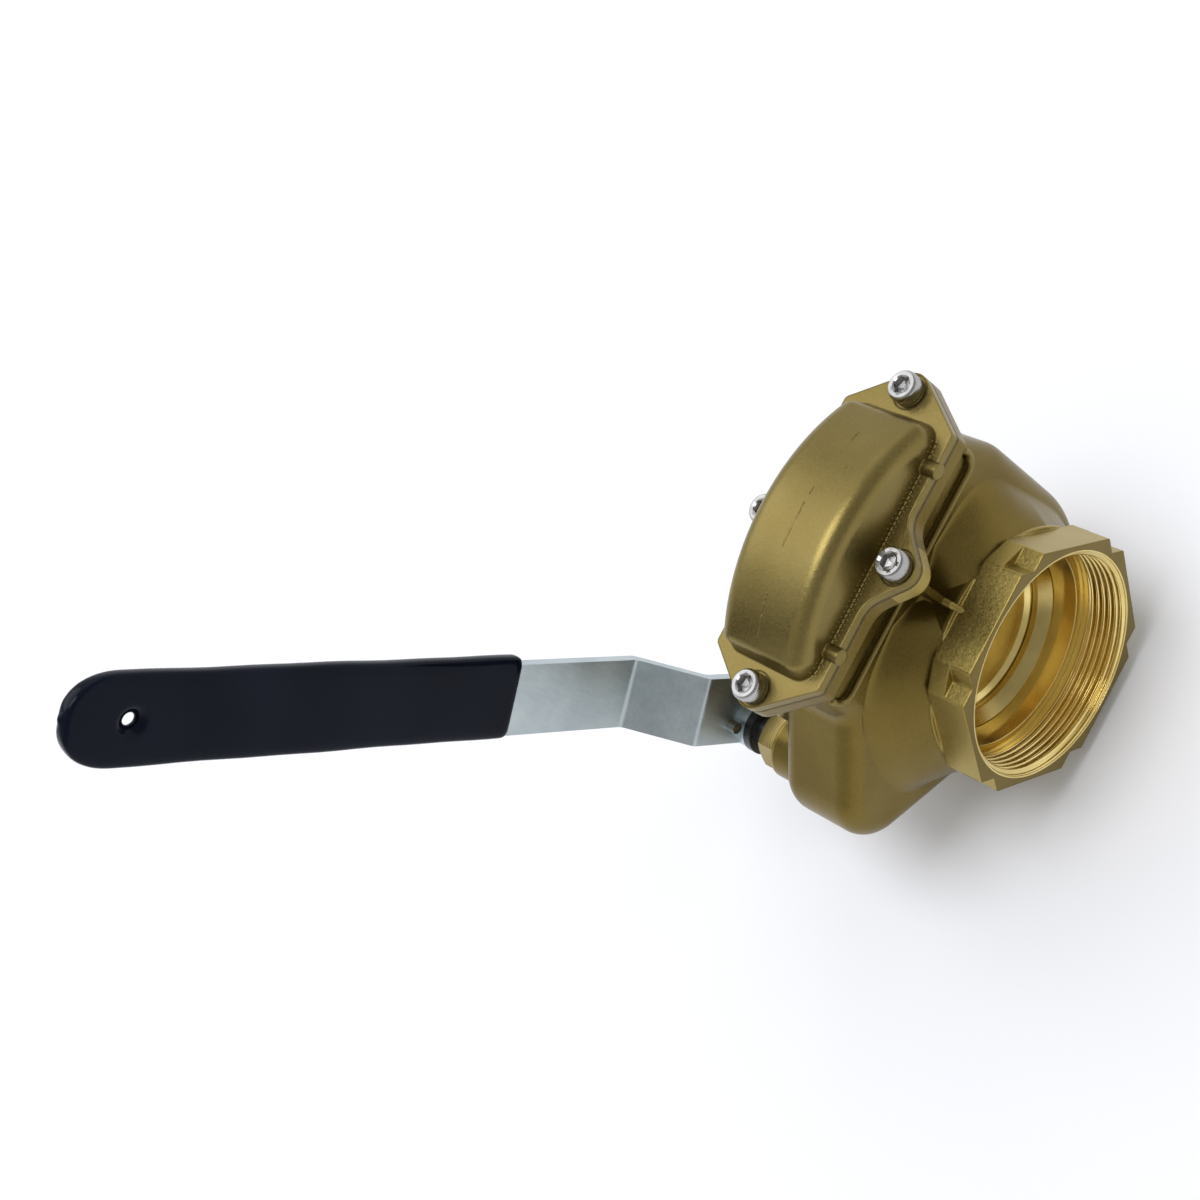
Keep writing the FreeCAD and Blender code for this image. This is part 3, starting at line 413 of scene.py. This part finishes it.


# The body and its wall cone take the darker tones, painted shade; the bonnet keeps the lighter cast brass
shaded_body_cast = cast_brass("cast_brass_shaded_body", SHADED_BODY_TONES, machined=True)
shaded_wall_cast = cast_brass("cast_brass_shaded_wall", SHADED_BODY_TONES)
cover_cast = cast_brass("cast_brass_cover", COVER_TONES)
disc_turned = turned_metal("turned_brass_pipe", DISC_TONES, LATHE_PITCH)
# The seat rings take the darker copy, painted shade
shaded_seat_turned = turned_metal("turned_brass_seat_shaded", SHADED_SEAT_TONES, LATHE_PITCH)
gland_turned = turned_metal("turned_brass_gland", GLAND_TONES, GLAND_PITCH, SPINDLE)
spindle_turned = turned_metal("spindle_steel_turned", SPINDLE_TONES, SPINDLE_PITCH, SPINDLE)
zinc = zinc_plate("zinc_plate", ZINC_TONES)
vinyl = dipped_vinyl("dipped_vinyl", VINYL_TONES)
stainless = mottled(
    "stainless_steel", STAINLESS_TONES, metallic=1.0, roughness=0.24, scale=160, strength=0.1)
bronze = mottled(
    "crank_bronze", BRONZE_TONES, metallic=1.0, roughness=0.35, scale=90, strength=0.2)
rubber = mottled(
    "seal_rubber", RUBBER_TONES, metallic=0.0, roughness=0.6, scale=120, strength=0.3)
packing = mottled(
    "braided_packing", PACKING_TONES, metallic=0.0, roughness=0.7, scale=900, strength=0.6, distance=0.0002)
fibre = mottled(
    "gasket_fibre", FIBRE_TONES, metallic=0.0, roughness=0.75, scale=500, strength=0.4)
black_plastic = mottled(
    "black_plastic", PLASTIC_TONES, metallic=0.0, roughness=0.28, scale=200, strength=0.15)

FINISHES = {
    "valve_body": shaded_body_cast,
    "bonnet": cover_cast,
    "seat_ring_front": shaded_seat_turned,
    "seat_ring_rear": shaded_seat_turned,
    "gate_disc_front": disc_turned,
    "gate_disc_rear": disc_turned,
    "gland_nut": gland_turned,
    "bonnet_screws": stainless,
    "gate_springs": stainless,
    "spindle": spindle_turned,
    "spindle_bush": bronze,
    "crank_arm": bronze,
    "crank_pin": stainless,
    "crank_rollers": bronze,
    "seat_seal_front": rubber,
    "seat_seal_rear": rubber,
    "packing_washer": gland_turned,
    "packing_rings": packing,
    "bonnet_gasket": fibre,
    "thrust_ring": black_plastic,
    "lever_collar": zinc,
    "lever_strip": zinc,
    "lever_grip": vinyl,
    "lever_washer": zinc,
    "lever_screw": zinc,
    "stop_pin": stainless,
}


def dress_nodes():
    """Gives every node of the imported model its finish."""
    for name, finish in FINISHES.items():
        node = nodes[name]
        if not node.material_slots:
            node.data.materials.append(finish)
        for slot in node.material_slots:
            slot.material = finish


# Camera, fitted to the port rim, the screws, the flange and the lever in the photograph
CAMERA_PLACE = (-0.0545, -0.3028, 0.5171)
CAMERA_RIGHT = Vector((0.4664, -0.6466, -0.6037))
CAMERA_UP = Vector((0.8845, 0.3322, 0.3275))
CAMERA_LENS = 56.04
CAMERA_SENSOR = 36.0


def photo_camera():
    lens = bpy.data.cameras.new("photo_camera")
    lens.lens = CAMERA_LENS
    lens.sensor_width = CAMERA_SENSOR
    lens.sensor_fit = "HORIZONTAL"
    camera = linked("photo_camera", lens)
    back = CAMERA_RIGHT.cross(CAMERA_UP).normalized()
    upward = back.cross(CAMERA_RIGHT).normalized()
    turn = Matrix((CAMERA_RIGHT.normalized(), upward, back)).transposed().to_4x4()
    camera.matrix_world = Matrix.Translation(CAMERA_PLACE) @ turn
    bpy.context.scene.camera = camera


# Pipe threads inside both ports
THREAD_FIRST = 0.0004
THREAD_LAST = 0.0148
THREAD_DEPTH = 0.00142
THREAD_WALL = THREAD_RADIUS - 0.0001
THREAD_SUNK = THREAD_RADIUS + 0.0002
FADE_IN = 0.0011
FADE_OUT = 0.0012


def thread_height(share):
    """How far the ridge stands in, from 0 to 1, over one pitch."""
    return min(1.0, max(0.0, 0.5 - 0.6 * math.cos(2 * math.pi * share)))


def thread_ridges(name, mouth, inwards):
    """A right-handed ridge that winds down the port's wall, faded at both ends."""
    steps = 78
    count = 180
    points = []
    for step in range(steps + 1):
        down = THREAD_FIRST + (THREAD_LAST - THREAD_FIRST) * step / steps
        fade = min(1.0, (down - THREAD_FIRST) / FADE_IN, (THREAD_LAST - down) / FADE_OUT)
        for k, angle in enumerate(angles_round(count)):
            share = down / THREAD_PITCH - inwards * k / count
            radius = THREAD_WALL - THREAD_DEPTH * thread_height(share) * fade
            if step in (0, steps):
                radius = THREAD_SUNK
            points.append((radius * math.cos(angle), mouth + inwards * down, radius * math.sin(angle)))
    faces = tube_faces(steps, count)
    if inwards < 0:
        faces = [face[::-1] for face in faces]
    dressed(name, "casing", mesh_from_points(name, points, faces), disc_turned)


# Socket screws of the bonnet
SCREW_HEAD = 0.005
SCREW_HEAD_HEIGHT = 0.006
SCREW_SHANK = 0.003
SHANK_TIP = 0.0026
TIP_LENGTH = 0.0006
KNURL_DEPTH = 0.00013
SOCKET_FLAT = 0.0025
SOCKET_MOUTH = 0.0031
SOCKET_DEPTH = 0.0030
SOCKET_BASE = 0.0036
CREASE = math.radians(32)


def ring(bm, centre, height, radii):
    """A ring of vertices round centre, with a radius for each."""
    return [
        bm.verts.new((centre.x + radius * math.cos(angle), centre.y + radius * math.sin(angle), height))
        for radius, angle in zip(radii, angles_round(len(radii)))
    ]


def skin_between(bm, first, second):
    """Quads between two rings of vertices."""
    for k in range(len(first)):
        following = (k + 1) % len(first)
        bm.faces.new((first[k], first[following], second[following], second[k]))


def socket_screw(bm, centre, low, top, twist):
    """One screw: shank, knurled head, rounded edges and hexagon socket."""
    count = 144
    sixth = math.pi / 3
    seat = top - SCREW_HEAD_HEIGHT
    hexagon = [SOCKET_FLAT / math.cos((angle + twist) % sixth - sixth / 2) for angle in angles_round(count)]
    knurl = [SCREW_HEAD - (KNURL_DEPTH if k % 3 == 0 else 0.0) for k in range(count)]
    profile = (
        (low, [SHANK_TIP] * count),
        (low + TIP_LENGTH, [SCREW_SHANK] * count),
        (seat, [SCREW_SHANK] * count),
        (seat, [SCREW_HEAD - 0.0004] * count),
        (seat + 0.0004, [SCREW_HEAD - 0.0001] * count),
        (seat + 0.0007, knurl),
        (top - 0.0011, knurl),
        (top - 0.0008, [SCREW_HEAD - 0.0001] * count),
        (top - 0.0003, [SCREW_HEAD - 0.0004] * count),
        (top, [SCREW_HEAD - 0.0008] * count),
        (top, [SOCKET_MOUTH] * count),
        (top - 0.00035, hexagon),
        (top - SOCKET_DEPTH, hexagon),
    )
    rings = [ring(bm, centre, height, radii) for height, radii in profile]
    for first, second in zip(rings, rings[1:]):
        skin_between(bm, first, second)
    bm.faces.new(rings[0][::-1])
    base = bm.verts.new((centre.x, centre.y, top - SOCKET_BASE))
    for k in range(count):
        bm.faces.new((rings[-1][k], rings[-1][(k + 1) % count], base))


def socket_screws():
    """The four bonnet screws, at the ends and the sides of the flange, each turned its own way."""
    end_place = screws_high.x - SCREW_HEAD
    side_place = screws_high.y - PORT_MIDDLE - SCREW_HEAD
    bm = bmesh.new()
    for n, (x, y) in enumerate(((end_place, 0), (-end_place, 0), (0, side_place), (0, -side_place))):
        centre = Vector((x, PORT_MIDDLE + y, 0))
        socket_screw(bm, centre, screws_low.z, screws_high.z, twist=0.35 + 0.9 * n)
    mesh = mesh_from_bmesh("socket_screws", bm)
    piece = dressed("socket_screws", "casing", mesh, stainless)
    edges = piece.modifiers.new("crisp", "EDGE_SPLIT")
    edges.split_angle = CREASE
    apply_modifiers(piece)
    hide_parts("bonnet_screws")


# Dipped grip, in metres from the spindle along the lever and across it
GRIP_START = 0.0944
GRIP_END = 0.2478
GRIP_LENGTH = GRIP_END - GRIP_START
GRIP_ACROSS = 0.0057
GRIP_HALF_WIDE = 0.0138
GRIP_HALF_THICK = 0.00326
GRIP_MIDDLE_Y = (grip_low.y + grip_high.y) / 2
GRIP_NOSE = 0.0165
GRIP_NOSE_POWER = 2.25
GRIP_EDGE_POWER = 16
GRIP_SIDE_POWER = 0.32
GRIP_FACE_POWER = 0.52
GRIP_LIP = 0.0022
GRIP_LIP_DEPTH = 0.0006
DRIP_PLACE = GRIP_END - 0.0011
DRIP_ACROSS = GRIP_ACROSS + 0.0008
DRIP_HALF_WIDE = 0.0022
DRIP_HALF = 0.0017
HOLE_PLACE = 0.228
HOLE_PROFILE = (
    (0.0, 0.0018), (0.0010, 0.0022), (0.0020, 0.0031), (0.0028, 0.0043), (0.0034, 0.0058), (0.0060, 0.0072))
GRIP_VOXEL = 0.00055


def on_lever(along, across, y):
    """A point on the lever."""
    return SPINDLE + LEVER_AXIS * along + LEVER_WIDTH * across + Vector((0, y, 0))


def grip_stations():
    """How far from the grip's start each of its sections lies, closer together at the ends."""
    stations = [0.0, 0.0003, 0.0010, GRIP_LIP]
    stations += [0.006 + 0.0065 * n for n in range(20)]
    straight = GRIP_LENGTH - GRIP_NOSE
    stations = [station for station in stations if station < straight]
    stations += [straight + GRIP_NOSE * math.sin(math.radians(turn)) for turn in range(0, 88, 6)]
    return stations + [GRIP_LENGTH - 0.00004]


def grip_section(place):
    """Half the grip's width and thickness: a round nose, a thin lip and slow waves of the dip."""
    left = GRIP_LENGTH - place
    wide = GRIP_HALF_WIDE
    thick = GRIP_HALF_THICK
    if left < GRIP_NOSE:
        share = 1 - left / GRIP_NOSE
        wide *= (1 - share ** GRIP_NOSE_POWER) ** (1 / GRIP_NOSE_POWER)
        thick *= max(0.02, 1 - share ** GRIP_EDGE_POWER) ** 0.5
    if place < GRIP_LIP:
        lip = GRIP_LIP_DEPTH * (1 - place / GRIP_LIP) ** 2
        wide -= lip
        thick -= lip * 0.8
    if wide > 0.01:
        wide += 0.00012 * math.sin(place * 95 + 0.6) + 0.00008 * math.sin(place * 210)
    return wide - 0.0001, thick - 0.00008


def squared(value, power):
    """Pushes a cosine or sine outwards, which makes an ellipse more like a rectangle."""
    return math.copysign(abs(value) ** power, value)


def grip_mesh():
    count = 64
    stations = grip_stations()
    points = []
    for place in stations:
        wide, thick = grip_section(place)
        for angle in angles_round(count):
            across = GRIP_ACROSS + squared(math.cos(angle), GRIP_SIDE_POWER) * wide
            y = GRIP_MIDDLE_Y + squared(math.sin(angle), GRIP_FACE_POWER) * thick
            points.append(tuple(on_lever(GRIP_START + place, across, y)))
    rows = len(stations) - 1
    faces = tube_faces(rows, count)
    faces.append(tuple(range(count))[::-1])
    faces.append(tuple(range(rows * count, len(points))))
    mesh = mesh_from_points("grip_sleeve", points, faces)
    turn_outwards(mesh)
    return mesh


def drip_tool():
    """The drip that the dipping left at the very end."""
    bm = bmesh.new()
    bmesh.ops.create_uvsphere(bm, u_segments=24, v_segments=16, radius=1.0)
    axes = (LEVER_WIDTH * DRIP_HALF_WIDE, Vector((0, DRIP_HALF, 0)), LEVER_AXIS * DRIP_HALF)
    place = Matrix.Translation(on_lever(DRIP_PLACE, DRIP_ACROSS, GRIP_MIDDLE_Y))
    bmesh.ops.transform(bm, matrix=place @ Matrix(axes).transposed().to_4x4(), verts=bm.verts)
    bmesh.ops.recalc_face_normals(bm, faces=bm.faces)
    return linked("drip_tool", mesh_from_bmesh("drip", bm))


def hang_hole_tool():
    """An hourglass cutter for the hang hole, so that the dip rolls over its edge."""
    middle = on_lever(HOLE_PLACE, GRIP_ACROSS, GRIP_MIDDLE_Y)
    profile = [(-level, radius) for level, radius in HOLE_PROFILE[:0:-1]] + list(HOLE_PROFILE)
    bm = bmesh.new()
    rows = []
    for level, radius in profile:
        centre = middle + Vector((0, level, 0))
        along = LEVER_AXIS * radius
        across = LEVER_WIDTH * radius
        rows.append([
            bm.verts.new(centre + along * math.cos(angle) + across * math.sin(angle))
            for angle in angles_round(48)
        ])
    for first, second in zip(rows, rows[1:]):
        skin_between(bm, first, second)
    bm.faces.new(rows[0][::-1])
    bm.faces.new(rows[-1])
    bmesh.ops.recalc_face_normals(bm, faces=bm.faces)
    return linked("hang_hole_tool", mesh_from_bmesh("hang_hole", bm))


def grip_sleeve():
    """A soft swollen sleeve with a drip at its end and a dimple round the hang hole."""
    piece = dressed("grip_sleeve", "lever", grip_mesh(), vinyl)
    tools = {"UNION": drip_tool(), "DIFFERENCE": hang_hole_tool()}
    for operation, tool in tools.items():
        boolean = piece.modifiers.new(operation.lower(), "BOOLEAN")
        boolean.operation = operation
        boolean.solver = "EXACT"
        boolean.object = tool
    remesh = piece.modifiers.new("remesh", "REMESH")
    remesh.mode = "VOXEL"
    remesh.voxel_size = GRIP_VOXEL
    remesh.use_smooth_shade = True
    soft = piece.modifiers.new("soft", "SMOOTH")
    soft.iterations = 6
    soft.factor = 0.5
    bpy.context.view_layer.update()
    apply_modifiers(piece)
    for tool in tools.values():
        bpy.data.objects.remove(tool)
    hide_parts("lever_grip")


# Low marks on the castings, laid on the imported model's own surfaces
def tree_of(name):
    """A search tree over a node's faces."""
    mesh = nodes[name].data
    points = [tuple(vertex.co) for vertex in mesh.vertices]
    faces = [tuple(face.vertices) for face in mesh.polygons]
    return BVHTree.FromPolygons(points, faces)


bonnet_tree = tree_of("bonnet")
body_tree = tree_of("valve_body")


def hits(tree, starts, direction):
    """Where rays meet a surface, with the surface's normal turned towards the ray."""
    found = []
    for start in starts:
        spot, normal, _, _ = tree.ray_cast(Vector(start), Vector(direction))
        if spot is not None:
            found.append((spot, normal if normal.dot(Vector(direction)) < 0 else -normal))
    return found


def ridge(spots, widths, heights):
    """Points and faces of a low rounded ridge along spots, each a point on a surface with its normal."""
    count = 7
    sink = 0.0002
    points = []
    for i, (spot, normal) in enumerate(spots):
        ahead = spots[min(i + 1, len(spots) - 1)][0] - spots[max(i - 1, 0)][0]
        side = ahead.cross(normal).normalized()
        for k in range(count):
            angle = math.pi * k / (count - 1)
            across = side * math.cos(angle) * widths[i]
            points.append(tuple(spot + across + normal * (math.sin(angle) * heights[i] - sink)))
    faces = []
    for i in range(len(spots) - 1):
        for k in range(count - 1):
            a = i * count + k
            faces.append((a, a + 1, a + 1 + count, a + count))
    faces.append(tuple(range(count))[::-1])
    faces.append(tuple(range(len(points) - count, len(points))))
    return points, faces


def joined_ridges(name, lines, material):
    """Several ridges as one piece on the casing, each line with its spots, widths and heights."""
    points = []
    faces = []
    for line in lines:
        new_points, new_faces = ridge(*line)
        faces += [tuple(len(points) + corner for corner in face) for face in new_faces]
        points += new_points
    mesh = mesh_from_points(name, points, faces)
    turn_outwards(mesh)
    dressed(name, "casing", mesh, material)


def dome_flash_line():
    """The broken flash line over the top of the dome, each run given by its ends in X."""
    end_height = 0.0002
    steps = 14
    runs = ((-0.0365, -0.0300), (-0.0275, -0.0235), (-0.0100, 0.0050), (0.0075, 0.0100), (0.0270, 0.0315))
    lines = []
    for low, high in runs:
        starts = [(low + (high - low) * n / steps, PORT_MIDDLE, ABOVE) for n in range(steps + 1)]
        spots = hits(bonnet_tree, starts, DOWN)
        heights = [0.00042 + 0.0001 * math.sin(7.3 * n + low * 900) for n in range(len(spots))]
        heights[0] = end_height
        heights[-1] = end_height
        widths = [0.00036 + 0.00012 * math.sin(4.1 * n) for n in range(len(spots))]
        lines.append((spots, widths, heights))
    joined_ridges("dome_flash_line", lines, cover_cast)


def dome_foot_marks():
    """Short tool marks along the foot of the dome's long walls and on the flange beside them."""
    first_x = -0.0385
    pitch = 0.0017
    step = 0.0004
    wall_width = 0.00022
    wall_height = 0.00052
    flange_width = 0.00026
    flange_height = 0.00045
    end_height = 0.0002
    lug_place = 0.0305
    lug_clear = 0.0034
    screw_clear = 0.0035
    lines = []
    for side in (-1, 1):
        outside = PORT_MIDDLE + side * 0.040
        for n in range(46):
            x = first_x + pitch * n
            if abs(abs(x) - lug_place) < lug_clear or abs(x) < screw_clear:
                continue
            starts = [(x, outside, COVER_TOP + 0.0001 + step * k) for k in range(6)]
            upright = hits(bonnet_tree, starts, (0, -side, 0))
            if len(upright) < 6:
                continue
            lines.append((upright, [wall_width] * 6, [wall_height] * 5 + [end_height]))
            wall = upright[0][0].y
            starts = [(x, wall + side * step * k, ABOVE) for k in range(1, 5)]
            level = [spot for spot in hits(bonnet_tree, starts, DOWN) if spot[0].z < COVER_TOP + 0.001]
            if len(level) == 4:
                lines.append((level, [flange_width] * 4, [flange_height] * 3 + [end_height]))
    joined_ridges("dome_foot_marks", lines, cover_cast)


# The cone from each flat wall to its wrench end, in metres
CONE_NECK = 0.0412
CONE_INNER = 0.0395
CONE_RISE = 0.0109
CONE_STEEPEST = 1.35
CONE_FOOT = 0.2
CONE_SINK = 0.0001
SHOULDER_LINE = 0.0508


def flat_reach(side, angle):
    """How far from the pipe axis the casting's flat wall runs at an angle."""
    outside = PORT_MIDDLE + side * 0.060
    plane = PORT_MIDDLE + side * CASTING_HALF
    first = 0.0440
    step = 0.00025
    far = CONE_NECK
    for n in range(60):
        radius = first + step * n
        x = radius * math.cos(angle)
        z = radius * math.sin(angle)
        spot = body_tree.ray_cast(Vector((x, outside, z)), Vector((0, -side, 0)))[0]
        if z <= SHOULDER_LINE and spot is not None and abs(spot.y - plane) <= 0.0004:
            far = radius
        elif n > 8:
            break
    return max(far, CONE_NECK + 0.0004)


def cone_edge(side, count):
    """The cone's outer edge: the flat wall's reach, held in a little and smoothed."""
    reach = [flat_reach(side, angle) for angle in angles_round(count)]
    held = [min(reach[(k + d) % count] for d in range(-3, 4)) for k in range(count)]
    return [sum(held[(k + d) % count] for d in range(-4, 5)) / 9 for k in range(count)]


def cone_height(share, top):
    """The cone's height over the flat wall: a soft foot, then a straight slope up to top."""
    if share < CONE_FOOT:
        foot = share ** 2 / (2 * CONE_FOOT - CONE_FOOT ** 2)
        return top * foot - CONE_SINK * (1 - share / CONE_FOOT)
    return top * (2 * share - CONE_FOOT) / (2 - CONE_FOOT)


def wall_bulge():
    """The casting's walls rise as a wide cone from the flat wall to the wrench ends."""
    count = 180
    rows = 16
    points = []
    faces = []
    for side in (-1, 1):
        faces += tube_faces(rows, count, len(points))
        edge = cone_edge(side, count)
        for row in range(rows + 1):
            for far, angle in zip(edge, angles_round(count)):
                span = far - CONE_NECK
                radius = far - (far - CONE_INNER) * row / rows
                height = cone_height((far - radius) / span, min(CONE_RISE, CONE_STEEPEST * span))
                y = PORT_MIDDLE + side * (CASTING_HALF + height)
                points.append((radius * math.cos(angle), y, radius * math.sin(angle)))
    mesh = mesh_from_points("wall_bulge", points, faces)
    turn_outwards(mesh)
    # The cone takes the body's darker brass, which holds painted shade
    dressed("wall_bulge", "casing", mesh, shaded_wall_cast)


def shoulder_beads():
    """A rounded bead along the lower edge of each shallow recess under the joint flange."""
    corner = 0.005
    corner_x = 0.0375
    corner_z = 0.0570
    out = CASTING_HALF - 0.0001
    drop = 0.0007
    width = 0.0012
    height = 0.0011
    foot = corner_z - corner
    lines = []
    for side in (-1, 1):
        outline = [(corner_x + corner, 0.0600), (corner_x + corner, 0.0575)]
        for turn in range(0, 91, 15):
            angle = math.radians(turn)
            outline.append((corner_x + corner * math.cos(angle), corner_z - corner * math.sin(angle)))
        outline += [(corner_x - corner_x * n / 12, foot) for n in range(1, 12)]
        outline += [(0.0, foot)] + [(-x, z) for x, z in reversed(outline)]
        lift = Vector((0, 0.8 * side, 0.6))
        spots = [(Vector((x, PORT_MIDDLE + side * out, z - drop)), lift) for x, z in outline]
        lines.append((spots, [width] * len(spots), [height] * len(spots)))
    # The beads take the cover's lighter cast brass rather than the body's darker one, a painted highlight
    # along each bead
    joined_ridges("shoulder_beads", lines, cover_cast)


# The run of each rib's end down the cone, as metres out from the middle plane and up from the pipe axis
RIB_RUN = (
    (0.0230, 0.0456), (0.0246, 0.0438), (0.0263, 0.0417),
    (0.0274, 0.0406), (0.0286, 0.03995), (0.0298, 0.03975),
)
RIB_WIDTHS = (0.0012, 0.0012, 0.0012, 0.0011, 0.0010, 0.0006)
RIB_HEIGHTS = (0.0010, 0.0010, 0.0010, 0.0009, 0.0006, 0.0002)
RIB_SLOPED = 4
SEAM_START = 0.0290
SEAM_LENGTH = 0.0124
SEAM_ABOVE = 0.060
SEAM_WIDTH = 0.00028
SEAM_HEIGHT = 0.00022


def parting_ridges():
    """The end of each rib on the cone, and the parting line across the wrench end's top flat."""
    seam_x = 0.0003
    steps = 10
    lines = []
    for side in (-1, 1):
        sloped = Vector((0, 0.62 * side, 0.78))
        level = Vector((0, 0.2 * side, 0.98))
        spots = [
            (Vector((0, PORT_MIDDLE + side * out, up)), sloped if n < RIB_SLOPED else level)
            for n, (out, up) in enumerate(RIB_RUN)
        ]
        lines.append((spots, RIB_WIDTHS, RIB_HEIGHTS))
        starts = [
            (seam_x, PORT_MIDDLE + side * (SEAM_START + SEAM_LENGTH * n / steps), SEAM_ABOVE)
            for n in range(steps + 1)
        ]
        spots = hits(body_tree, starts, DOWN)
        lines.append((spots, [SEAM_WIDTH] * len(spots), [SEAM_HEIGHT] * len(spots)))
    joined_ridges("parting_ridges", lines, shaded_body_cast)


# Studio, with lamps given by name, direction, strength and spread in degrees
SUNS = (
    ("key", Vector((0.02, 0.06, 0.99)), 1.3, 34),
    ("rear", Vector((0.05, 0.66, 0.75)), 0.55, 45),
    ("side", Vector((0.75, 0.35, 0.55)), 0.2, 40),
)
SUN_COLOUR = (0.97, 0.99, 1.06)
FRONT_SKY = (0.38, 0.38, 0.39)
REAR_SKY = (0.66, 0.67, 0.68)
HORIZON = (0.95, 0.95, 0.95)
FLOOR_RADIUS = 14.0
FLOOR_GAP = 0.0003


def studio_floor():
    surface = Surface("pale_floor", metallic=0.0, roughness=0.9)
    surface.shader.inputs["Specular IOR Level"].default_value = 0.0
    colour = surface.shade(surface.noise(scale=9, detail=2), FLOOR_TONES, (0.0, 1.0))
    bm = bmesh.new()
    bmesh.ops.create_circle(bm, cap_ends=True, segments=96, radius=FLOOR_RADIUS)
    mesh = mesh_from_bmesh("studio_floor", bm)
    mesh.materials.append(surface.finish(colour))
    floor = linked("studio_floor", mesh)
    floor.location = (0, 0, cad_box[0].z - FLOOR_GAP)


def studio_suns():
    target = (cad_box[0] + cad_box[1]) / 2
    for name, direction, strength, spread in SUNS:
        sun = bpy.data.lights.new(name, "SUN")
        sun.energy = strength
        sun.angle = math.radians(spread)
        sun.color = SUN_COLOUR
        lamp = linked(name, sun)
        lamp.location = target + direction.normalized()
        lamp.rotation_euler = direction.to_track_quat("Z", "Y").to_euler()


def studio_sky():
    """A soft sky, darker in front than behind, with a pale band at the horizon."""
    world = bpy.data.worlds.new("studio")
    bpy.context.scene.world = world
    world.use_nodes = True
    sky = Nodes(world.node_tree)
    place = sky.coordinates("Generated")
    behind = sky.remap(place["Y"], (-0.9, 0.9), (0.0, 1.0))
    colour = sky.shade(behind, (FRONT_SKY, REAR_SKY), (0.0, 1.0))
    band = sky.remap(sky.compute("ABSOLUTE", place["Z"]), (0.03, 0.30), (1.0, 0.0))
    sky.feed(sky.tree.nodes["Background"].inputs["Color"], sky.mix(band, colour, HORIZON))


dress_nodes()
photo_camera()
thread_ridges("front_thread", mouth=0.0, inwards=1)
thread_ridges("rear_thread", mouth=2 * PORT_MIDDLE, inwards=-1)
socket_screws()
grip_sleeve()
dome_flash_line()
dome_foot_marks()
wall_bulge()
shoulder_beads()
parting_ridges()
studio_floor()
studio_suns()
studio_sky()
bpy.context.scene.view_settings.view_transform = "Standard"
